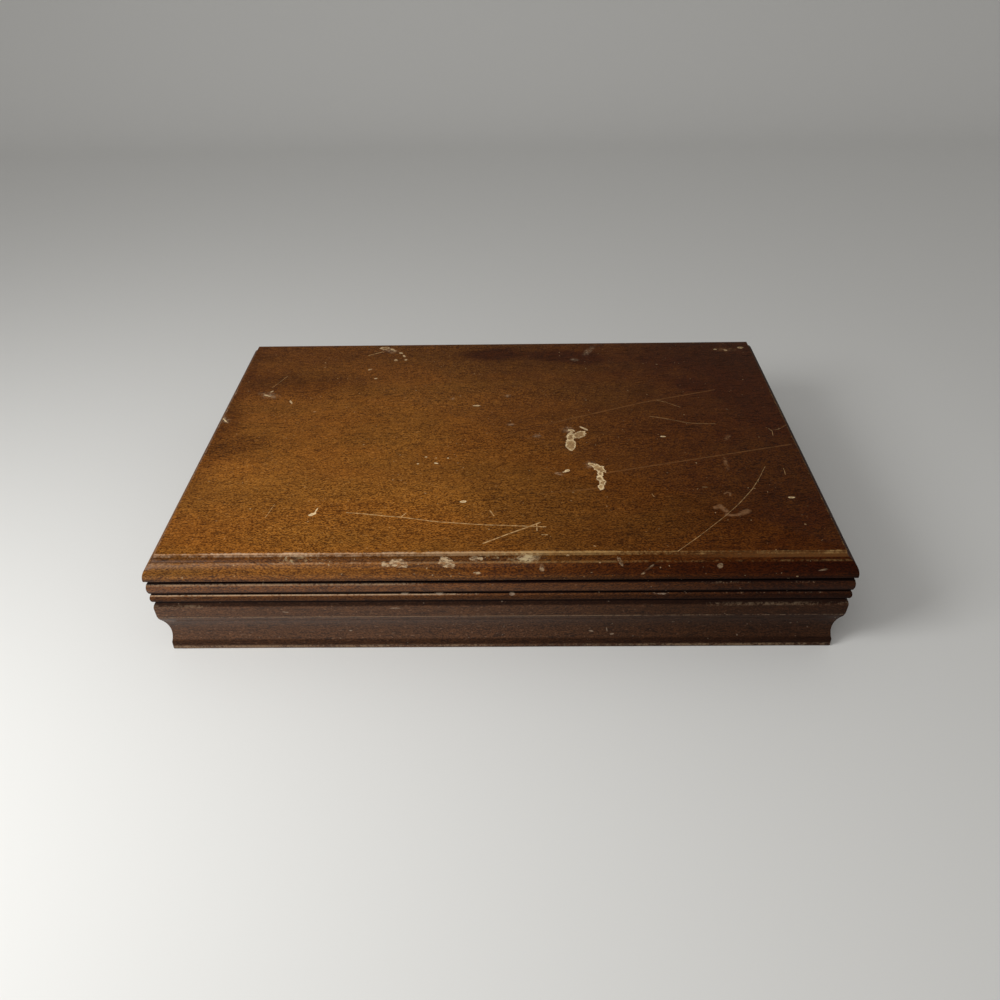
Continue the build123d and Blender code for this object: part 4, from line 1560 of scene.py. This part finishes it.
section = bmesh.new()
pen = section.verts.new((flat_edge_inset, 0, chest_top))
quirk = (flat_edge_inset - quirk_run, chest_top - quirk_drop)
nose_start = (quirk[0] - cove_run, quirk[1] - cove_drop)
pen = line_to(section, pen, *quirk)
pen, direction = arc_to(section, pen, (-0.35, 0, -1), *nose_start, 6)
nose_top = board_foot + nose_lower_round + nose_land
lean = 2 * math.atan2(nose_start[0], nose_start[1] - nose_top)
pen, direction = arc_to(section, pen, (-math.sin(lean), 0, -math.cos(lean)), 0, nose_top, 9)
pen = line_to(section, pen, 0, board_foot + nose_lower_round)
pen, direction = arc_to(section, pen, (0, 0, -1), nose_lower_round, board_foot, 3)
section.verts.ensure_lookup_table()
rings = [vertex.co.copy() for vertex in section.verts]
section.free()
print(len(rings), "points in the board's section")

# %% Make the lid board
board_round = 0.35 * mm
bm = bmesh.new()
ring_half = Vector((half_width - rings[0].x, half_depth - rings[0].x, 0))
corners = ((-1, -1), (1, -1), (1, 1), (-1, 1))
bm.faces.new([bm.verts.new((x * ring_half.x, y * ring_half.y, rings[0].z)) for x, y in corners])
for edge in list(bm.edges):
    cuts = round(edge.calc_length() / station_length)
    bmesh.ops.subdivide_edges(bm, edges=[edge], cuts=cuts)
rim_edges = list(bm.edges)
for ring in rings[1:]:
    ring_verts, rim_edges = extrude(bm, rim_edges)
    wanted = Vector((half_width - ring.x, half_depth - ring.x, 0))
    spread = (wanted.x / ring_half.x, wanted.y / ring_half.y, 1)
    bmesh.ops.scale(bm, verts=ring_verts, vec=spread)
    bmesh.ops.translate(bm, verts=ring_verts, vec=(0, 0, ring.z - ring_verts[0].co.z))
    ring_half = wanted
bmesh.ops.contextual_create(bm, geom=rim_edges)
bmesh.ops.recalc_face_normals(bm, faces=bm.faces)
soften(bm, board_round)
board = finish_piece(bm, "moulded_lid_board", lid_edge_finish, "lid", "lid_board")
board.data.materials.append(lid_top_finish)
for polygon in board.data.polygons:
    if polygon.center.z > chest_top - 0.01 * mm:
        polygon.material_index = 1

# %% [markdown]
# ## Pockets for the hinges
#
# A butt hinge is let into the edge of the wood, so that the lid closes tight. The joiner chisels a
# bed as deep as the leaf is thick, and a hollow behind it where the barrel turns. Here each is a
# box taken away from the back rail, and the edges that are left get a small round.

# %% Helpers that cut the hinge pockets
leaf_thickness = 1.2 * mm
knuckle_radius = 2.4 * mm
stop_radius = 4.6 * mm
hinge_fit = 0.25 * mm
past_the_wood = 4.0 * mm
pocket_round = 0.12 * mm
leaf_boxes = [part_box(f"{side}_hinge_base_leaf") for side in ("left", "right")]


def add_box(bm, size, middle):
    """A box of a size about its middle."""
    shape = Matrix.Translation(middle) @ Matrix.Diagonal((*size, 1))
    bmesh.ops.create_cube(bm, size=1.0, matrix=shape)


def box_cutter(name, low_y, high_y, low_z, high_z):
    """One box at each hinge, a little longer than the leaf, to be taken away from a rail."""
    bm = bmesh.new()
    for low, high in leaf_boxes:
        size = Vector((high.x - low.x + 2 * hinge_fit, high_y - low_y, high_z - low_z))
        middle = Vector(((low.x + high.x) / 2, (low_y + high_y) / 2, (low_z + high_z) / 2))
        add_box(bm, size, middle)
    return make_object(bm, name)


def cut_pockets(piece, *cutters):
    """Take the boxes away from a rail for good, then round the new edges."""
    for cutter in cutters:
        cut = piece.modifiers.new(cutter.name, "BOOLEAN")
        cut.operation = "DIFFERENCE"
        cut.solver = "EXACT"
        cut.object = cutter
    evaluated = piece.evaluated_get(bpy.context.evaluated_depsgraph_get())
    data = bpy.data.meshes.new_from_object(evaluated)
    piece.modifiers.clear()
    bm = bmesh.new()
    bm.from_mesh(data)
    reach = [(low.x - 2 * hinge_fit, high.x + 2 * hinge_fit) for low, high in leaf_boxes]
    inside = [
        edge
        for edge in sharp_edges(bm, math.radians(40))
        if any(all(low < vertex.co.x < high for vertex in edge.verts) for low, high in reach)
        and all(vertex.co.y > leaf_boxes[0][0].y - hinge_fit for vertex in edge.verts)
    ]
    round_edges(bm, inside, pocket_round, 2)
    bm.to_mesh(data)
    bm.free()
    data.set_sharp_from_angle(angle=math.radians(32))
    used = [piece.data, *(cutter.data for cutter in cutters)]
    piece.data = data
    for cutter in cutters:
        bpy.data.objects.remove(cutter)
    for old in used:
        bpy.data.meshes.remove(old)
    print(f"{piece.name}: pockets cut, {len(data.polygons)} faces")


# %% Cut the hinge pockets in the back rails
bed_front = leaf_boxes[0][0].y
bed_back = hinge_axis.y + past_the_wood
barrel_front = hinge_axis.y - knuckle_radius - hinge_fit
base_top = base_rim + past_the_wood
lid_bottom = lid_foot - past_the_wood
base_barrel_foot = hinge_axis.z - knuckle_radius - hinge_fit
lid_barrel_head = hinge_axis.z + stop_radius + hinge_fit
cut_pockets(
    bpy.data.objects["back_base_moulding"],
    box_cutter("base_bed", bed_front, bed_back, base_rim - leaf_thickness, base_top),
    box_cutter("base_barrel_room", barrel_front, bed_back, base_barrel_foot, base_top),
)
cut_pockets(
    bpy.data.objects["back_reeded_rail"],
    box_cutter("lid_bed", bed_front, bed_back, lid_bottom, lid_foot + leaf_thickness),
    box_cutter("lid_barrel_room", barrel_front, bed_back, lid_bottom, lid_barrel_head),
)

# %% [markdown]
# ## Brushed cloth and felt
#
# Chests for silver are lined with a brown cotton cloth whose nap is brushed up and which keeps the
# silver from tarnishing. Under the nap lies a plain weave of fine threads. The nap lies down in
# patches, where it looks darker, and catches bits of lint. Felt is the same idea without the weave:
# its fibres lie in all directions. One group makes both, and a number says how much weave shows.

# %% Build the cloth group
thread_pitch = 0.75 * mm
cloth_looks = {
    "Shade Colour": (0.050, 0.0235, 0.014, 1),
    "Nap Colour": (0.120, 0.062, 0.037, 1),
    "Rubbed Colour": (0.20, 0.125, 0.085, 1),
    "Weave": 1.0,
}
cloth, start, end = new_group(
    "brushed_cloth",
    {"Vector": origin, **cloth_looks, "Rubbed": 0.0},
    ["Color", "Roughness", "Height"],
)
where = start["Vector"]
thread_place = axes_of(where)
warp_place = add_up(thread_place["X"], thread_place["Y"])
slope = calc("SUBTRACT", thread_place["X"], thread_place["Y"])
weft_place = add_up(slope, thread_place["Z"])
warp = calc("SINE", product(warp_place, 2 * math.pi / thread_pitch))
weft = calc("SINE", product(weft_place, 2 * math.pi / thread_pitch))
threads = product(gained(product(warp, weft), 0.5, 0.5), start["Weave"])
crushed = cloud(where, 26.0, 4.0, 0.6)
nap = cloud(stretched(where, (1, 0.35, 0.6)), 1000.0, 4.0, 0.75)
fibre = cloud(where, 2600.0, 2.0, 0.6)
lying = gained(crushed, 0.6, gained(nap, 1.1, -0.5))
lying = gained(fibre, 0.4, calc("SUBTRACT", lying, 0.1))
lying = gained(threads, 0.12, lying)
cloth_colour = blend(between(lying, 0.2, 0.85), start["Shade Colour"], start["Nap Colour"])
rubbed_part = product(start["Rubbed"], between(nap, 0.35, 0.65, 0.35, 0.9))
cloth_colour = blend(rubbed_part, cloth_colour, start["Rubbed Colour"])
lint = between(cloud(where, 420.0, 1.0), 0.80, 0.84, 0.0, 0.35)
cloth_results = {
    "Color": blend(lint, cloth_colour, (0.45, 0.40, 0.34, 1)),
    "Roughness": gained(fibre, 0.15, 0.82),
    "Height": gained(threads, 0.5, add_up(nap, fibre)),
}
set_inputs(end, cloth_results)
print("cloth:", len(cloth.nodes), "nodes")

# %% Make the cloth materials
cloth_relief = 0.25 * mm
rack_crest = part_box("front_flatware_rack")[1].z
knife_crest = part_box("knife_handle_rack")[0].z


def show(shader, made, relief_depth, strength):
    """Give the shader the colour, the roughness and the relief that a group makes."""
    normal = relief(made["Height"], relief_depth, strength)
    look = {"Base Color": made["Color"], "Roughness": made["Roughness"], "Normal": normal}
    set_inputs(shader, look)


def cloth_finish(name, looks, *rubbed_edge):
    """A cloth; rubbed_edge is the height where things rub it and how far that reaches."""
    material, shader, where = new_material(name)
    rubbed = ridge(axes_of(where)["Z"], *rubbed_edge) if rubbed_edge else 0.0
    made = use_group(cloth, {"Vector": where, **looks, "Rubbed": rubbed})
    show(shader, made, cloth_relief, 0.7)
    sheen = {"Sheen Weight": 0.3, "Sheen Roughness": 0.45, "Sheen Tint": (0.75, 0.6, 0.5, 1.0)}
    set_inputs(shader, {"Specular IOR Level": 0.15, **sheen})
    return material


felt_looks = {
    "Shade Colour": (0.020, 0.043, 0.026, 1),
    "Nap Colour": (0.050, 0.100, 0.060, 1),
    "Rubbed Colour": (0.12, 0.15, 0.10, 1),
    "Weave": 0.0,
}
lining_finish = cloth_finish("lining_cloth_nap", cloth_looks)
rack_finish = cloth_finish("rack_cloth_nap", cloth_looks, rack_crest, 2.5 * mm)
knife_finish = cloth_finish("knife_rack_cloth_nap", cloth_looks, knife_crest, 2.0 * mm)
felt_finish = cloth_finish("underside_felt_fibres", felt_looks, 0.0, 0.5 * mm)
print("cloth materials ready")

# %% [markdown]
# ## The lining
#
# Each lining is a strip of card with the cloth turned over its edges, so its edges are round and
# its face is never quite flat. A box from the CAD piece's own size is rounded, cut into a grid,
# and thinned a little here and there. Thinning moves a face only towards the middle of the card,
# so a strip never grows into its neighbour.

# %% Make the linings
lining_round = 0.5 * mm
grid_step = 12.0 * mm
most_thinning = 0.35
thinning_period = 34 * mm


def lining_board(node, body, seed):
    """A cloth-covered card in the place of its CAD piece."""
    low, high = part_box(node)
    size, middle = high - low, (low + high) / 2
    thin = min(range(3), key=lambda axis: size[axis])
    bm = bmesh.new()
    add_box(bm, size, middle)
    soften(bm, lining_round)
    for axis in range(3):
        steps = round(size[axis] / grid_step)
        across = Vector([float(other == axis) for other in range(3)])
        for step in range(1, steps):
            cut_place = low + across * (size[axis] * step / steps)
            bmesh.ops.bisect_plane(bm, geom=everything(bm), plane_co=cut_place, plane_no=across)
    shift = Vector((seed * 5.3, seed * 2.9, seed * 8.1))
    for vertex in bm.verts:
        press = 0.5 + 0.5 * noise.noise(vertex.co / thinning_period + shift)
        vertex.co[thin] = middle[thin] + (vertex.co[thin] - middle[thin]) * (1 - most_thinning * press)
    finish_piece(bm, f"dressed_{node}", lining_finish, body, node, math.radians(60))


lining_nodes = [("base_floor_lining", "base"), ("lid_ceiling_lining", "lid")]
for body in ("base", "lid"):
    lining_nodes += [(f"{body}_{side}_lining", body) for side in side_turn]
for seed, (node, body) in enumerate(lining_nodes):
    lining_board(node, body, seed)

# %% [markdown]
# ## Brass and steel
#
# The hinges are stamped brass. Years of handling leave it brown in patches and bright where the
# knuckles rub, with fine scratches along the leaf from the brushing in the factory. The metal is
# one group too, because the steel brads differ from the brass only in their colours.

# %% Build the metal group and its materials
metal_relief = 0.03 * mm
brass_looks = {
    "Clean Colour": (0.68, 0.47, 0.20, 1),
    "Tarnish Colour": (0.25, 0.15, 0.065, 1),
    "Spot Colour": (0.07, 0.045, 0.025, 1),
}
steel_looks = {
    "Clean Colour": (0.42, 0.41, 0.40, 1),
    "Tarnish Colour": (0.16, 0.12, 0.10, 1),
    "Spot Colour": (0.10, 0.05, 0.03, 1),
}
metal, start, end = new_group(
    "aged_metal", {"Vector": origin, **brass_looks, "Tarnish": 0.5}, ["Color", "Roughness", "Height"]
)
where = start["Vector"]
tarnish_cloud = cloud(where, 120.0, 5.0, 0.65)
brushing = cloud(stretched(where, (0.04, 1, 1)), 5200.0, 2.0, 0.6)
spots = between(cloud(where, 900.0), 0.60, 0.70)
tarnished = gained(start["Tarnish"], 0.6, calc("SUBTRACT", tarnish_cloud, 0.3))
tarnished = between(tarnished, 0.3, 0.75)
metal_colour = blend(tarnished, start["Clean Colour"], start["Tarnish Colour"])
dull = gained(spots, 0.2, gained(tarnished, 0.25, 0.22))
metal_results = {
    "Color": blend(product(spots, 0.6), metal_colour, start["Spot Colour"]),
    "Roughness": gained(brushing, 0.2, dull),
    "Height": gained(spots, -0.8, brushing),
}
set_inputs(end, metal_results)


def metal_finish(name, looks, tarnish):
    """A metal with its own colours and age."""
    material, shader, where = new_material(name)
    made = use_group(metal, {"Vector": where, **looks, "Tarnish": tarnish})
    show(shader, made, metal_relief, 0.5)
    set_inputs(shader, {"Metallic": 1.0})
    return material


leaf_finish = metal_finish("aged_brass", brass_looks, 0.55)
pin_finish = metal_finish("rubbed_brass", brass_looks, 0.25)
steel_finish = metal_finish("brad_steel_grey", steel_looks, 0.5)
print("metal:", len(metal.nodes), "nodes")

# %% [markdown]
# ## Plain wood
#
# The bottom panel, the splines in the mitres and the dowels under the board are unstained. They use
# the same timber group with pale colours and no lacquer, because nobody finishes what won't be
# seen.

# %% Make the plain wood materials
plain_relief = 0.15 * mm


def plain_wood(name, along, place, pale, deep):
    """Unfinished wood."""
    material, shader, where = new_material(name)
    inputs = {
        "Vector": grain_vector(where, along, place),
        "Pale Stain": pale,
        "Deep Stain": deep,
        "Pore Colour": (0.16, 0.09, 0.045, 1),
        "Glint Colour": (0.62, 0.47, 0.30, 1),
        "Grain Contrast": 0.55,
    }
    made = use_group(timber, inputs)
    show(shader, made, plain_relief, 0.7)
    rough_wood = gained(made["Roughness"], 0.8, 0.62)
    set_inputs(shader, {"Roughness": rough_wood, "Specular IOR Level": 0.2})
    return material


panel_tones = ((0.50, 0.34, 0.19, 1), (0.36, 0.22, 0.11, 1))
joinery_tones = ((0.46, 0.29, 0.16, 1), (0.32, 0.18, 0.09, 1))
panel_finish = plain_wood("panel_wood_plain", "X", (0.2, 0.6, 0.1), *panel_tones)
joinery_finish = plain_wood("joinery_wood_plain", "Y", (0.5, 0.1, 0.3), *joinery_tones)
print("plain wood materials ready")

# %% [markdown]
# ## Racks, hinges and hidden joinery
#
# These pieces keep the shapes of the CAD model, with its edges rounded as the real process leaves
# them: cloth turns an edge in about a millimetre, and a stamping breaks one in a tenth. A copy of
# each mesh has its doubled points merged and its flat facets joined, so that the bevel sees only
# the real edges.

# %% Round a copy of each remaining piece
merge_distance = 0.001 * mm
flat_angle = math.radians(0.5)


def dressed_copy(node, material, body, edge_round):
    """A clean copy of a CAD mesh with its edges rounded."""
    bm = bmesh.new()
    bm.from_mesh(frame["nodes"][node].data)
    bmesh.ops.remove_doubles(bm, verts=bm.verts, dist=merge_distance)
    bmesh.ops.dissolve_limit(bm, angle_limit=flat_angle, verts=bm.verts, edges=bm.edges)
    soften(bm, edge_round)
    finish_piece(bm, f"dressed_{node}", material, body, node)


dressed = [
    # node, material, body, slot, edge round
    ("front_flatware_rack", rack_finish, "base", "rack_cloth", 0.9),
    ("rear_flatware_rack", rack_finish, "base", "rack_cloth", 0.9),
    ("knife_handle_rack", knife_finish, "lid", "rack_cloth", 0.8),
    ("knife_blade_rack", knife_finish, "lid", "rack_cloth", 0.8),
    ("base_felt", felt_finish, "base", "underside_felt", 0.35),
    ("bottom_panel", panel_finish, "base", "panel_wood", 0.2),
    ("bottom_panel_brads", steel_finish, "base", "brad_steel", 0.06),
    ("base_corner_splines", joinery_finish, "base", "joinery_wood", 0.12),
    ("lid_corner_splines", joinery_finish, "lid", "joinery_wood", 0.12),
    ("lid_dowels", joinery_finish, "lid", "joinery_wood", 0.2),
    ("left_hinge_base_leaf", leaf_finish, "base", "hinge_brass", 0.12),
    ("right_hinge_base_leaf", leaf_finish, "base", "hinge_brass", 0.12),
    ("left_hinge_lid_leaf", leaf_finish, "lid", "hinge_brass", 0.12),
    ("right_hinge_lid_leaf", leaf_finish, "lid", "hinge_brass", 0.12),
    ("left_hinge_pin", pin_finish, "base", "pin_brass", 0.12),
    ("right_hinge_pin", pin_finish, "base", "pin_brass", 0.12),
    ("base_hinge_screws", pin_finish, "base", "hinge_brass", 0.06),
    ("lid_hinge_screws", pin_finish, "lid", "hinge_brass", 0.06),
]
for node, material, body, slot, edge_round in dressed:
    dressed_copy(node, material, body, edge_round * mm)
